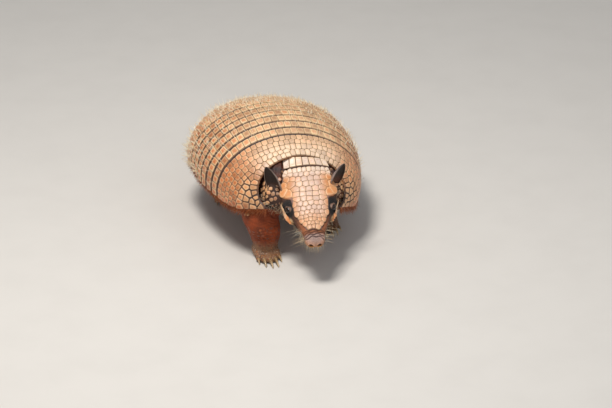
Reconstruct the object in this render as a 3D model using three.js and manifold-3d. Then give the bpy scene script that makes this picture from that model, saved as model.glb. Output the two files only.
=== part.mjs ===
// Six-banded armadillo, life size, walking: a still model in millimetres, +Z up.
// The animal faces -Y and +X is its left. "Ahead" is the distance forward of the
// foremost groove of the shell, "side" is towards the animal's left, "up" is height.
// The shell is bone plates over a trunk of flesh; the head is turned to its right.

import * as THREE from 'three';
import { LoftGeometry } from 'three/addons/geometries/LoftGeometry.js';
import { mergeVertices } from 'three/addons/utils/BufferGeometryUtils.js';
import Module from 'manifold-3d';

const wasm = await Module();
wasm.setup();

// ---- Driving dimensions ----

const gap = 0.35; // between pieces that touch
const shellThickness = 3;
const shellGap = 1.4; // shell to trunk, wide enough for the facets of both
const shellClearance = 0.8; // shell to what reaches under its rims
const shellAcross = 20; // facets from one rim of the shell to the other
const scapularRows = 5; // facets from front to back
const pelvicRows = 7;

const bandCount = 6;
const halfGroove = 0.5;
const firstGroove = 4; // ahead, on the spine
const bandPitch = 15.8; // along the spine
const bandSweep = 1; // how far the first groove runs back at the rims
const bandSweepGrowth = -1.5; // added for each groove behind it
const scapularFrontEdge = 38; // ahead, on the spine
const scapularReach = 38; // how much further forward its rims come
const scapularCurve = 1.6; // its front edge is this power of the distance across
const rumpEnd = -211;

// The trunk leans a little to the animal's left, about a line along it.
const trunkRoll = THREE.MathUtils.degToRad(6);
const rollHeight = 90;

// Profiles of the shell and trunk, as [ahead, value].
const crownHeight = through([
	[rumpEnd, 76], [-200, 94], [-180, 113], [-150, 133], [-100, 149.5],
	[-50, 154], [0, 149], [40, 134], [62, 117], [80, 104],
]);
const halfWidth = through([
	[rumpEnd, 28], [-200, 46], [-180, 67], [-150, 91.5], [-100, 109.5],
	[-50, 107.5], [0, 97], [40, 81], [62, 60], [80, 46],
]);
const widestHeight = through([[rumpEnd, 65], [-180, 71], [-140, 74], [40, 74], [80, 82]]);
const rimHeight = through([[rumpEnd, 58], [-150, 60], [20, 60], [45, 63], [62, 70], [80, 78]]);
const bellyHeight = through([[rumpEnd, 54], [-185, 47], [-140, 40], [-60, 38], [0, 42], [40, 52], [70, 68]]);
const flankTuck = 8; // the flank starts this far inside the rim
// How far the trunk's sections draw in towards their middle, as [ahead, share].
const trunkTaper = [
	[-206, 0.1], [-194, 0], ...spread(9, -180, 44).map((ahead) => [ahead, 0]),
	[56, 0.03], [65, 0.09], [72, 0.2], [77, 0.42],
];
const neckLine = 26; // ahead, where the trunk ends and the neck and throat start
const headLine = 47; // ahead, where the head starts

// Head: its own frame starts at the middle of the head shield's back edge.
const headStart = body(54, 7, 125);
const headTurn = THREE.MathUtils.degToRad(8); // to the animal's right
const headPitch = THREE.MathUtils.degToRad(28.5); // nose down
const headRoll = THREE.MathUtils.degToRad(-2);
const headShieldThickness = 2.6;
const skullInset = 1.1; // skull to head shield, wide enough for the facets of both
const noseStart = 105;
const noseFloor = -20; // the nose pad ends just above the upper lip
const jawBack = 52;
const mouthSlope = THREE.MathUtils.degToRad(7);
const mouthHeight = -17; // below the shield's plane, at the nose

// Half widths and heights of the skull, as [along the head, value].
const skullHalfWidth = through([
	[-10, 24], [0, 29], [20, 34], [38, 36.5], [54, 33], [70, 25.5], [85, 19], [98, 14.6], [108, 13.4], [113, 11.5],
]);
const skullBottom = through([
	[-10, -40], [0, -46], [20, -50], [40, -49], [60, -42], [80, -32.5], [98, -24], [108, -21.5], [113, -18],
]);
// How far the skull's sections draw in towards their middle, as [along, share].
const skullTaper = [
	[-9, 0.35], [-5, 0.12], [0, 0.03], [8, 0], ...spread(7, 20, 104).map((along) => [along, 0]),
	[109, 0.03], [112.5, 0.2], [114, 0.5],
];
const skullTop = through([[-10, -4], [0, 0], [90, 0], [98, -0.5], [105, -2.5], [110, -5], [113, -8]]);
const roofRadius = through([[-10, 70], [0, 70], [30, 62], [45, 58], [66, 44], [85, 28], [97, 22], [113, 15]]);
const shieldHalfWidth = through([
	[0, 29.3], [8, 31.2], [17, 33.8], [27, 37], [35, 36.4], [41, 32],
	[46, 25], [66, 22.9], [76, 19.6], [85, 15.2], [96, 10],
]);
const shieldStations = [0, 8, 17, 27, 35, 41, 45, 55, 66, 76, 87, 96];
const nuchalBack = -16.5;
const nuchalFront = -1.4;
const nuchalHalfWidth = 28.5;
const nuchalLift = 0.6; // of its front edge over the head's roof
const nuchalSlope = 0.2; // it rises towards its back edge
const nuchalTwist = 0.01; // and rises more on the right, where the shell stands higher

const eyeRadius = 4.7;
const eyePlace = [57, 27.5, -13.2]; // along, out, up
const earSegments = 5;
const earWall = 1.8;
const earWrap = 1.7; // how far each side curls round the opening, in radians
const earDepth = 0.55; // of the ear's half width
const earOutline = through([[0, 7.8], [0.25, 10.3], [0.5, 10], [0.75, 7.4], [0.92, 4.4], [1, 2]]);
// Each ear's base, tip and the way its opening faces: out, back along the head, and up.
const earRight = { base: [40, -27, -16], tip: [52, -10, 18], opening: [0.55, -0.75, 0.35] };
const earLeft = { base: [35, -21, -15], tip: [46, -14.5, 19], opening: [0.6, -0.8, 0.1] };

const skinTones = {
	bone: ['#c98f5c', 0.6], flesh: ['#9a5a36', 0.75], dark: ['#4a3b37', 0.7],
	nose: ['#a07c76', 0.5], horn: ['#b99a6e', 0.45], eye: ['#17100c', 0.1],
};

// ---- Shapes ----

// A smooth curve through its stations that never overshoots them (monotone cubic).
function through(stations) {
	const rises = stations.slice(1).map(([x, y], i) => (y - stations[i][1]) / (x - stations[i][0]));
	const slopes = stations.map((_, i) => {
		const before = rises[Math.max(i - 1, 0)];
		const after = rises[Math.min(i, rises.length - 1)];
		return before * after <= 0 ? 0 : (2 * before * after) / (before + after);
	});
	return (x) => {
		const last = stations.length - 2;
		let i = 0;
		while (i < last && x > stations[i + 1][0]) i++;
		const [x0, y0] = stations[i];
		const [x1, y1] = stations[i + 1];
		const width = x1 - x0;
		const t = THREE.MathUtils.clamp((x - x0) / width, 0, 1);
		const rest = 1 - t;
		return y0 * (1 + 2 * t) * rest * rest + y1 * (3 - 2 * t) * t * t
			+ width * t * rest * (slopes[i] * rest - slopes[i + 1] * t);
	};
}

function body(ahead, side, up) {
	return new THREE.Vector3(side, -ahead, up);
}

// A point of the trunk or shell, which lean together.
function leaning(ahead, side, up) {
	const rise = up - rollHeight;
	return body(
		ahead,
		side * Math.cos(trunkRoll) + rise * Math.sin(trunkRoll),
		rollHeight - side * Math.sin(trunkRoll) + rise * Math.cos(trunkRoll),
	);
}

function spread(count, from = 0, to = 1) {
	return Array.from({ length: count + 1 }, (_, i) => from + ((to - from) * i) / count);
}

// A closed geometry as a solid that can be joined and cut.
function solidOf(geometry) {
	const bare = new THREE.BufferGeometry();
	bare.setAttribute('position', geometry.getAttribute('position'));
	bare.setIndex(geometry.getIndex());
	const merged = mergeVertices(bare, 1e-4);
	const vertProperties = Float32Array.from(merged.attributes.position.array);
	const triVerts = Uint32Array.from(merged.index.array);
	return new wasm.Manifold(new wasm.Mesh({ numProp: 3, vertProperties, triVerts }));
}

function geometryOf(solid) {
	const { vertProperties, triVerts } = solid.getMesh();
	const geometry = new THREE.BufferGeometry();
	geometry.setAttribute('position', new THREE.BufferAttribute(vertProperties, 3));
	geometry.setIndex(new THREE.BufferAttribute(triVerts, 1));
	geometry.computeVertexNormals();
	return geometry;
}

// A solid skinned over rings of points, each wound so that the faces turn outwards.
function loft(rings) {
	const [first, second] = rings;
	const course = second.reduce((sum, point, i) => sum.add(point).sub(first[i]), new THREE.Vector3());
	const facing = first.reduce((sum, point, i) => {
		const next = first[(i + 1) % first.length];
		return sum.add(new THREE.Vector3().crossVectors(point.clone().sub(first[0]), next.clone().sub(first[0])));
	}, new THREE.Vector3());
	const wound = facing.dot(course) > 0 ? rings : rings.map((points) => [...points].reverse());
	return solidOf(new LoftGeometry(wound, { capStart: true, capEnd: true }));
}

// What is left of a solid after a cut, without the crumbs cut off it.
function largest(solid) {
	return solid.decompose().sort((one, other) => other.volume() - one.volume())[0];
}

// A ring with half axes a and b; a squareness above 1 fills its corners out.
function ring(centre, a, b, sides, squareness = 1) {
	return spread(sides - 1, 0, 2 * Math.PI * (1 - 1 / sides)).map((angle) => {
		const c = Math.cos(angle);
		const s = Math.sin(angle);
		return centre.clone()
			.addScaledVector(a, Math.sign(c) * Math.abs(c) ** (1 / squareness))
			.addScaledVector(b, Math.sign(s) * Math.abs(s) ** (1 / squareness));
	});
}

// A taper's stations, with its first and last moved outwards.
function grownAtEnds(taper, grow) {
	const last = taper.length - 1;
	return taper.map(([place, shrink], i) => {
		const outwards = (i === last ? 1 : 0) - (i === 0 ? 1 : 0);
		return [place + grow * outwards, shrink];
	});
}

function box(width, depth, height, place) {
	return new THREE.BoxGeometry(width, depth, height).applyMatrix4(place);
}

// ---- Shell ----

// The angle from the crown to the rim, at a distance ahead.
function rimAngle(ahead) {
	const rise = crownHeight(ahead) - widestHeight(ahead);
	return Math.acos(THREE.MathUtils.clamp((rimHeight(ahead) - widestHeight(ahead)) / rise, -1, 1));
}

// Side and height of the shell's outside, moved in by a depth. Across runs from -1 to 1, rim to rim.
function shellSection(ahead, across, depth) {
	const angle = across * rimAngle(ahead);
	const wide = halfWidth(ahead);
	const high = crownHeight(ahead) - widestHeight(ahead);
	const outwards = new THREE.Vector2(Math.sin(angle) / wide, Math.cos(angle) / high).normalize();
	const rise = high * Math.cos(angle);
	return [wide * Math.sin(angle) - depth * outwards.x, widestHeight(ahead) + rise - depth * outwards.y];
}

function shellPoint(ahead, across, depth) {
	return leaning(ahead, ...shellSection(ahead, across, depth));
}

function grooveLine(index) {
	return (across) => firstGroove - bandPitch * index - (bandSweep + bandSweepGrowth * index) * across ** 2;
}

function scapularFront(across) {
	return scapularFrontEdge + scapularReach * Math.abs(across) ** scapularCurve;
}

// A plate of the shell between two lines across it, each the distance ahead for a place across.
function shellPlate(front, back, rows, grow = 0) {
	const reach = 1 + grow / 100;
	const places = spread(shellAcross, -reach, reach);
	const plateRing = (k, shift) => {
		const line = (across, depth) => {
			const point = shellPoint(THREE.MathUtils.lerp(front(across), back(across), k), across, depth);
			return point.setY(point.y - shift);
		};
		const outside = places.map((across) => line(across, -grow));
		const inside = places.map((across) => line(across, shellThickness + grow));
		return [...outside, ...inside.reverse()];
	};
	const rings = spread(rows).map((k) => plateRing(k, 0));
	return loft(grow > 0 ? [plateRing(0, grow), ...rings, plateRing(1, -grow)] : rings);
}

const scapularPlate = (grow) => (
	shellPlate(scapularFront, (across) => grooveLine(0)(across) + halfGroove, scapularRows, grow)
);
const bands = spread(bandCount - 1, 0, bandCount - 1).map((i) => shellPlate(
	(across) => grooveLine(i)(across) - halfGroove,
	(across) => grooveLine(i + 1)(across) + halfGroove,
	1,
));
const pelvicPlate = (grow) => (
	shellPlate((across) => grooveLine(bandCount)(across) - halfGroove, () => rumpEnd, pelvicRows, grow)
);

// ---- Trunk ----

function trunkRing(ahead, shrink, grow) {
	const inset = shellThickness + shellGap - grow;
	const back = spread(12, -1, 1).map((across) => shellSection(ahead, across, inset));
	const [rimSide, rimUp] = back[back.length - 1];
	const halfBelly = Math.max(rimSide - flankTuck, 6) + grow;
	const drop = rimUp - bellyHeight(ahead) + grow;
	const belly = spread(8, 0, Math.PI).slice(1, -1).map((angle) => [
		halfBelly * Math.sign(Math.cos(angle)) * Math.abs(Math.cos(angle)) ** 0.8,
		rimUp - drop * Math.sin(angle) ** 0.7,
	]);
	const centre = (crownHeight(ahead) + bellyHeight(ahead)) / 2;
	return [...back, ...belly].map(([side, up]) => (
		leaning(ahead, side * (1 - shrink), up + (centre - up) * shrink)
	));
}

function trunkShape(grow = 0) {
	return loft(grownAtEnds(trunkTaper, grow).map(([ahead, shrink]) => trunkRing(ahead, shrink, grow)));
}

// All that is further ahead than a line across the body.
function aheadOf(line) {
	const size = 500;
	return solidOf(box(size, size, size, new THREE.Matrix4().makeTranslation(0, -line - size / 2, 0)));
}

// ---- Head ----

const headFrame = (() => {
	const turn = new THREE.Quaternion().setFromAxisAngle(new THREE.Vector3(0, 0, 1), -headTurn);
	const pitch = new THREE.Quaternion().setFromAxisAngle(new THREE.Vector3(1, 0, 0), headPitch);
	const roll = new THREE.Quaternion().setFromAxisAngle(new THREE.Vector3(0, 1, 0), headRoll);
	return new THREE.Matrix4().compose(headStart, turn.multiply(pitch).multiply(roll), new THREE.Vector3(1, 1, 1));
})();

// A point of the head, from its place along, out to the animal's left and up.
function headPoint(along, out, up) {
	return new THREE.Vector3(out, -along, up).applyMatrix4(headFrame);
}

function roofHeight(along, out) {
	const radius = roofRadius(along);
	return skullTop(along) - radius + Math.sqrt(Math.max(radius ** 2 - out ** 2, (0.3 * radius) ** 2));
}

function skullRing(along, shrink, grow) {
	const wide = skullHalfWidth(along) + grow;
	const roofInset = headShieldThickness + skullInset - grow;
	const roof = spread(8, -0.86, 0.86).map((k) => {
		const out = wide * Math.sin((k * Math.PI) / 2);
		return [out, roofHeight(along, out) - roofInset];
	});
	const [edgeOut, edgeUp] = roof[roof.length - 1];
	const bottom = skullBottom(along) - grow;
	const belly = spread(8, 0, Math.PI).slice(1, -1).map((angle) => [
		(wide * (0.98 + 0.06 * Math.sin(angle)) - (wide - edgeOut) * (1 - Math.sin(angle)))
			* Math.sign(Math.cos(angle)) * Math.abs(Math.cos(angle)) ** 0.75,
		edgeUp + (bottom - edgeUp) * Math.sin(angle) ** 0.9,
	]);
	const middle = (roofHeight(along, 0) + bottom) / 2;
	return [...roof, ...belly].map(([out, up]) => (
		headPoint(along, out * (1 - shrink), up + (middle - up) * shrink)
	));
}

function skullShape(grow = 0) {
	return loft(grownAtEnds(skullTaper, grow).map(([along, shrink]) => skullRing(along, shrink, grow)));
}

// A curved plate that lies over the head's roof between two distances along it.
function headPlate(stations, halfWidthAt, liftAt, grow = 0) {
	return loft(stations.map((along) => {
		const half = halfWidthAt(along) + grow;
		const places = spread(8, -half, half);
		const roof = (out, depth) => headPoint(along, out, roofHeight(along, out) + liftAt(along, out) - depth);
		const outside = places.map((out) => roof(out, -grow));
		const inside = places.map((out) => roof(out, headShieldThickness + grow));
		return [...outside, ...inside.reverse()];
	}));
}

function nuchalShape(grow = 0) {
	const stations = [nuchalBack - grow, (nuchalBack + nuchalFront) / 2, nuchalFront + grow];
	const liftAt = (along, out) => nuchalLift + (nuchalFront - along) * (nuchalSlope - nuchalTwist * out);
	return headPlate(stations, () => nuchalHalfWidth, liftAt, grow);
}

function headShieldShape(grow = 0) {
	return headPlate(shieldStations, shieldHalfWidth, () => 0, grow);
}

function eyeBall(side, grow = 0) {
	const [along, out, up] = eyePlace;
	const centre = headPoint(along, side * out, up);
	const ball = new THREE.SphereGeometry(eyeRadius + grow, 9, 6);
	return solidOf(ball.translate(centre.x, centre.y, centre.z));
}

// Boxes that part the lower jaw and the nose pad from the head.
function jawCut(grow = 0) {
	const length = 90;
	const place = headFrame.clone()
		.multiply(new THREE.Matrix4().makeTranslation(0, -(jawBack - grow), mouthHeight + grow))
		.multiply(new THREE.Matrix4().makeRotationX(mouthSlope))
		.multiply(new THREE.Matrix4().makeTranslation(0, -length / 2, -length / 2));
	return solidOf(box(length, length, length, place));
}

function noseCut(grow = 0) {
	const length = 60;
	const place = headFrame.clone()
		.multiply(new THREE.Matrix4().makeTranslation(0, grow - noseStart - length / 2, noseFloor + length / 2));
	return solidOf(box(length, length, length, place));
}

// An ear: a scoop of even wall from base to tip.
function earShape(side, ear) {
	const base = new THREE.Vector3(...ear.base);
	const rise = new THREE.Vector3(...ear.tip).sub(base);
	const upwards = rise.clone().normalize();
	const face = new THREE.Vector3(...ear.opening);
	face.addScaledVector(upwards, -face.dot(upwards)).normalize();
	const across = new THREE.Vector3().crossVectors(upwards, face);
	const rings = spread(earSegments).map((k) => {
		const radius = earOutline(k);
		const centre = base.clone().addScaledVector(rise, k);
		const arc = (r, depth) => spread(8, -earWrap, earWrap).map((angle) => centre.clone()
			.addScaledVector(across, r * Math.sin(angle))
			.addScaledVector(face, -r * Math.cos(angle) * depth));
		const points = [...arc(radius, earDepth), ...arc(Math.max(radius - earWall, 0.5), earDepth * 0.85).reverse()];
		return points.map((point) => headPoint(-point.y, side * point.x, point.z));
	});
	return loft(rings);
}

// ---- Neck ----

function neckShape(grow = 0) {
	const back = leaning(38, 0, 94);
	const front = headPoint(2, 0, -25);
	const rings = spread(4).map((k) => {
		const centre = back.clone().lerp(front, k);
		const lean = (headTurn * k) / 1.2;
		const across = new THREE.Vector3(Math.cos(lean), -Math.sin(lean), 0).multiplyScalar(42 - 17 * k + grow);
		const upright = new THREE.Vector3(0, -0.35 * k, 1).normalize().multiplyScalar(31 - 8 * k + grow);
		return ring(centre, across, upright, 12);
	});
	return loft(rings);
}

// ---- Limbs ----

// Horizontal rings from the hip or shoulder down: [ahead, side, up, half length, half width].
function limb(stations, side, grow = 0) {
	return loft(stations.map(([ahead, out, up, length, width]) => ring(
		body(ahead, side * out, up),
		new THREE.Vector3(width + grow, 0, 0),
		new THREE.Vector3(0, length + grow, 0),
		11,
	)));
}

// A sole and its toes, standing flat on the floor.
function footShape(foot, side, grow = 0) {
	const { ahead, out, length, width, height, toes } = foot;
	const across = (scale) => new THREE.Vector3(width * scale + grow, 0, 0);
	const upright = (scale) => new THREE.Vector3(0, 0, height * scale + grow);
	const soleStations = [[-0.5, 0.5, 0.5], [-0.4, 0.85, 0.85], [-0.1, 1, 1], [0.36, 0.96, 0.8], [0.5, 0.7, 0.5]];
	let solid = loft(soleStations.map(([k, wide, high]) => ring(
		body(ahead + length * k + Math.sign(k) * grow, side * out, height * high * 0.8),
		across(wide), upright(high), 10, 1.25,
	)));
	for (const toe of toes) {
		solid = solid.add(loft(toeRings(foot, toe, side, grow)));
	}
	return solid.subtract(floorBlock());
}

// Toes run forward from the sole: place is across the foot from -1 (inner) to 1 (outer).
function toeLine(foot, toe, side, k) {
	const start = foot.length * 0.28;
	const ahead = foot.ahead + start + (toe.reach - start) * k;
	const out = foot.out + foot.width * toe.place * (0.72 + 0.22 * k);
	const up = toe.radius * (0.95 + 0.25 * Math.sin(Math.PI * k));
	return body(ahead, side * out, up);
}

function toeRings(foot, toe, side, grow = 0) {
	return [[0, 0.9], [0.7, 1.05], [1, 0.72]].map(([k, scale]) => ring(
		toeLine(foot, toe, side, k + (k === 1 ? grow / 10 : 0)),
		new THREE.Vector3(toe.radius * scale + grow, 0, 0),
		new THREE.Vector3(0, 0, toe.radius * scale + grow),
		6,
	));
}

function floorBlock() {
	const size = 1000;
	return solidOf(box(size, size, size, new THREE.Matrix4().makeTranslation(0, 0, -size / 2)));
}

// A claw: a blunt curved spike from inside the toe's end down to the floor.
function clawShape(foot, toe, side) {
	const rings = spread(3).map((k) => {
		const root = toeLine(foot, toe, side, 0.86);
		const bend = toe.claw * Math.sin((k * Math.PI) / 2.3);
		const rise = toe.radius * 0.25 * Math.sin(Math.PI * k);
		const size = toe.radius * (0.62 - 0.44 * k);
		const up = THREE.MathUtils.lerp(root.z + 0.6, size + 0.4, k ** 1.4) + rise;
		const centre = new THREE.Vector3(root.x + side * toe.place * 1.6 * k, root.y - bend, up);
		return ring(centre, new THREE.Vector3(size * 0.72, 0, 0), new THREE.Vector3(0, 0, size), 5);
	});
	return loft(rings);
}

// ---- Tail ----

// Rings down the tail's middle line: [ahead, side, up, radius].
const tailStations = [
	[-195, 0, 68, 17], [-212, 1, 60, 16.5], [-230, 3, 51, 15], [-249, 7, 41.5, 13.6],
	[-268, 12, 32.5, 12.2], [-287, 18, 24, 10.8], [-306, 25, 16.5, 9.5], [-324, 32.5, 10.8, 8.1],
	[-342, 41, 7.2, 6.7], [-358, 49.5, 5, 5.1], [-370, 57, 3.3, 3.4], [-377, 62, 1.9, 1.9],
];

function tailRings(grow = 0) {
	const points = tailStations.map(([ahead, side, up]) => body(ahead, side, up));
	return points.map((point, i) => {
		const before = points[Math.max(i - 1, 0)];
		const after = points[Math.min(i + 1, points.length - 1)];
		const course = after.clone().sub(before).normalize();
		const across = new THREE.Vector3().crossVectors(course, new THREE.Vector3(0, 0, 1)).normalize();
		const upright = new THREE.Vector3().crossVectors(across, course);
		const radius = tailStations[i][3] + grow;
		return ring(point, across.multiplyScalar(radius), upright.multiplyScalar(radius), 9);
	});
}

// ---- The armadillo ----

const foreToes = [
	{ place: -0.86, reach: 20, radius: 3.6, claw: 9 },
	{ place: -0.42, reach: 26, radius: 4.4, claw: 17 },
	{ place: 0.04, reach: 27.5, radius: 4.6, claw: 17 },
	{ place: 0.5, reach: 25, radius: 4.4, claw: 14 },
	{ place: 0.9, reach: 20, radius: 3.6, claw: 9 },
];
const hindToes = [
	{ place: -0.86, reach: 25, radius: 3.6, claw: 7 },
	{ place: -0.44, reach: 31, radius: 4, claw: 10 },
	{ place: 0, reach: 33, radius: 4.2, claw: 11 },
	{ place: 0.44, reach: 31, radius: 4, claw: 10 },
	{ place: 0.86, reach: 25, radius: 3.6, claw: 7 },
];

// Each leg: where the sole stands, and the rings from the body down to the ankle.
function foreLeg(ahead, out) {
	return {
		foot: { ahead, out, length: 36, width: 17, height: 9, toes: foreToes },
		rings: [
			[20, 40, 94, 19, 18], [(24 + ahead) / 2, 50, 76, 25, 24], [(20 + 2 * ahead) / 3 + 3, out + 6, 56, 25, 24.5],
			[ahead, out + 2, 38, 21.5, 22], [ahead, out, 24, 18, 19], [ahead, out, 9, 15.5, 15],
		],
	};
}

function hindLeg(ahead, out) {
	return {
		foot: { ahead: ahead + 6, out, length: 46, width: 15, height: 8.5, toes: hindToes },
		rings: [
			[-130, 50, 88, 34, 24], [(ahead - 132) / 2, 54, 68, 35, 25], [ahead + 2, out + 2, 48, 29, 23],
			[ahead - 4, out, 32, 21, 18], [ahead - 8, out, 20, 16, 15], [ahead - 8, out, 8.5, 14.5, 12.5],
		],
	};
}

const legs = {
	foreleg_right: { ...foreLeg(43, 44), side: -1 },
	foreleg_left: { ...foreLeg(-20, 52), side: 1 },
	hindleg_right: { ...hindLeg(-146, 58), side: -1 },
	hindleg_left: { ...hindLeg(-112, 60), side: 1 },
};

const armadillo = new THREE.Group();

function add(name, solid, tone) {
	const [color, roughness] = skinTones[tone];
	const material = new THREE.MeshStandardMaterial({ color, roughness, metalness: 0 });
	const mesh = new THREE.Mesh(geometryOf(solid), material);
	mesh.name = name;
	armadillo.add(mesh);
}

const trunkGrown = trunkShape(gap);
const skullGrown = skullShape(gap).intersect(aheadOf(headLine - gap));
const scapularGrown = scapularPlate(shellClearance);
const pelvicGrown = pelvicPlate(shellClearance);

add('scapular_shield', scapularPlate(0), 'bone');
bands.forEach((band, i) => add(`band_${i + 1}`, band, 'bone'));
add('pelvic_shield', pelvicPlate(0), 'bone');
add('trunk', trunkShape().subtract(aheadOf(neckLine - gap)), 'flesh');

const sockets = eyeBall(1, gap).add(eyeBall(-1, gap));
const shieldGrown = headShieldShape(gap);
const skull = largest(skullShape().intersect(aheadOf(headLine)).subtract(sockets));
add('head', skull.subtract(jawCut(gap)).subtract(noseCut(gap)), 'flesh');
add('lower_jaw', skull.intersect(jawCut()).subtract(noseCut(gap)), 'flesh');
add('nose', skull.intersect(noseCut()), 'nose');
add('head_shield', headShieldShape(), 'bone');
add('nuchal_band', largest(nuchalShape().subtract(scapularGrown)), 'bone');
add('eye_left', eyeBall(1), 'eye');
add('eye_right', eyeBall(-1), 'eye');

const neckGrown = trunkGrown.add(neckShape(gap)).intersect(aheadOf(neckLine));
const underEars = skullGrown.add(shieldGrown).add(neckGrown);
add('ear_left', largest(earShape(1, earLeft).subtract(underEars)), 'dark');
add('ear_right', largest(earShape(-1, earRight).subtract(underEars)), 'dark');

const neck = trunkShape().add(neckShape()).intersect(aheadOf(neckLine));
add('neck', largest(neck.subtract(skullGrown).subtract(nuchalShape(gap)).subtract(shieldGrown)), 'flesh');

for (const [name, leg] of Object.entries(legs)) {
	const { foot, rings, side } = leg;
	const sole = footShape(foot, side);
	const soleGrown = footShape(foot, side, gap);
	const upper = limb(rings, side).subtract(trunkGrown).subtract(soleGrown);
	add(name, largest(upper.subtract(scapularGrown).subtract(pelvicGrown)), 'flesh');
	add(name.replace('leg', 'foot'), sole, 'flesh');
	foot.toes.forEach((toe, i) => {
		const claw = largest(clawShape(foot, toe, side).subtract(soleGrown));
		add(`${name.replace('leg', 'claw')}_${i + 1}`, claw, 'horn');
	});
}

const tail = tailRings();
add('tail_base', largest(loft(tail.slice(0, 5)).subtract(trunkGrown).subtract(pelvicGrown)), 'flesh');
const joint = (i) => loft([tail[i], tail[i].map((point, j) => point.clone().lerp(tail[i + 1][j], 0.03))]);
add('tail_middle', loft(tail.slice(4, 9)).subtract(joint(4)).subtract(floorBlock()), 'flesh');
add('tail_tip', loft(tail.slice(8)).subtract(joint(8)).subtract(floorBlock()), 'flesh');

// The origin is the middle of the outline's box, on the floor.
const outline = new THREE.Box3().setFromObject(armadillo);
const middle = outline.getCenter(new THREE.Vector3());
armadillo.children.forEach((mesh) => mesh.position.set(-middle.x, -middle.y, 0));

export default armadillo;
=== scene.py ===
# Six-banded armadillo, life size, standing mid-step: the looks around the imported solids.
# Measures are millimetres unless a note says otherwise; meshes are made in metres.
# "Ahead" is the way forward from a place near the foremost groove; "across" runs from rim to rim, -1 to 1.

import bpy
import bmesh
import math
import numpy as np
from mathutils import Matrix, Vector
from mathutils.bvhtree import BVHTree


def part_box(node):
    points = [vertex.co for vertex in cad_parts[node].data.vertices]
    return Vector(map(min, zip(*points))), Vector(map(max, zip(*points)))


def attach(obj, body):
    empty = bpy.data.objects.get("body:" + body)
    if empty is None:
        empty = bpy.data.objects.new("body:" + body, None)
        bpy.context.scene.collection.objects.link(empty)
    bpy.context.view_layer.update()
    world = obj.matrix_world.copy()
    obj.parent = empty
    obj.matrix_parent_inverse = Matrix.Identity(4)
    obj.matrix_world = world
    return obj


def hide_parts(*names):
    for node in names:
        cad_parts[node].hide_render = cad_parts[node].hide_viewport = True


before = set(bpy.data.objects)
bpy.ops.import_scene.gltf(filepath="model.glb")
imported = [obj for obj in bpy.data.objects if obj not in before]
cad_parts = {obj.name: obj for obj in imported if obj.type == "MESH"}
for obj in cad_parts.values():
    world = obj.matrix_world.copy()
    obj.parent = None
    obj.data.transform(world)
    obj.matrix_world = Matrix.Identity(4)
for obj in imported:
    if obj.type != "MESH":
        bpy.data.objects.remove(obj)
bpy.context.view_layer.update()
mm = 0.001
fullTurn = 2 * math.pi
print("frame loaded")


def through(stations):
    # a smooth curve through its stations that never overshoots them
    xs, ys = np.array(stations, float).T
    rises = np.diff(ys) / np.diff(xs)
    before = np.concatenate([rises[:1], rises])
    after = np.concatenate([rises, rises[-1:]])
    same = before * after > 0
    slopes = np.where(same, 2 * before * after / np.where(same, before + after, 1), 0)

    def at(x):
        x = np.asarray(x, float)
        i = np.clip(np.searchsorted(xs, x) - 1, 0, len(xs) - 2)
        width = xs[i + 1] - xs[i]
        t = np.clip((x - xs[i]) / width, 0, 1)
        rest = 1 - t
        return (ys[i] * (1 + 2 * t) * rest ** 2 + ys[i + 1] * (3 - 2 * t) * t ** 2
                + width * t * rest * (slopes[i] * rest - slopes[i + 1] * t))
    return at


def smoothed(stations, count):
    # more rows of the same columns, each column a smooth curve
    columns = [through(list(enumerate(column))) for column in np.array(stations, float).T]
    places = np.linspace(0, len(stations) - 1, count)
    return np.stack([column(places) for column in columns], 1)


def step(low, high, x):
    # 0 below low, 1 above high, smooth between
    t = np.clip((x - low) / (high - low), 0, 1)
    return t * t * (3 - 2 * t)


def unit(v):
    return v / np.maximum(np.linalg.norm(v, axis=-1, keepdims=True), 1e-12)


def mixed(first, second, share):
    return first * (1 - share) + second * share


def bell(x, middle, width):
    # 1 at the middle, falling away to either side
    return np.exp(-((x - middle) / width) ** 2)


def sameShape(*values):
    # numbers and arrays brought to one shape
    return np.broadcast_arrays(*(np.asarray(v, float) for v in values))


def lengthsAlong(points):
    # the way along a line of points, from 0 at the first
    return np.concatenate([[0], np.cumsum(np.linalg.norm(np.diff(points, axis=0), axis=1))])


class Waves:
    # a fixed sum of sine waves in random directions, about -1 to 1: noise that every run repeats
    count, slowest, fastest, strength = 28, 0.6, 1.5, 1.2

    def __init__(self, seed):
        draw = np.random.default_rng(seed)
        self.directions = unit(draw.normal(size=(self.count, 3)))
        self.rates = draw.uniform(self.slowest, self.fastest, self.count)
        self.starts = draw.uniform(0, fullTurn, self.count)

    def at(self, points, size):
        turns = points @ self.directions.T * (self.rates * fullTurn / size) + self.starts
        return np.sin(turns).sum(1) / math.sqrt(len(self.rates)) * self.strength


def rgb(red, green, blue):
    # a screen colour, 0 to 255, as the light it stands for
    share = np.array([red, green, blue]) / 255
    return np.where(share <= 0.04045, share / 12.92, ((share + 0.055) / 1.055) ** 2.4)


# The body's own measures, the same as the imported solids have.
shell = dict(
    thickness=3, bandCount=6, firstGroove=4, bandPitch=15.8, bandSweep=1, bandSweepGrowth=-1.5,
    frontEdge=38, frontReach=38, frontCurve=1.6, rumpEnd=-211, roll=math.radians(6), rollHeight=90, facets=20,
)
crownHeight = through([(-211, 76), (-200, 94), (-180, 113), (-150, 133), (-100, 149.5), (-50, 154), (0, 149),
                       (40, 134), (62, 117), (80, 104)])
halfWidth = through([(-211, 28), (-200, 46), (-180, 67), (-150, 91.5), (-100, 109.5), (-50, 107.5), (0, 97),
                     (40, 81), (62, 60), (80, 46)])
widestHeight = through([(-211, 65), (-180, 71), (-140, 74), (40, 74), (80, 82)])
rimHeight = through([(-211, 58), (-150, 60), (20, 60), (45, 63), (62, 70), (80, 78)])
bellyHeight = through([(-211, 54), (-185, 47), (-140, 40), (-60, 38), (0, 42), (40, 52), (70, 68)])
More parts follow.
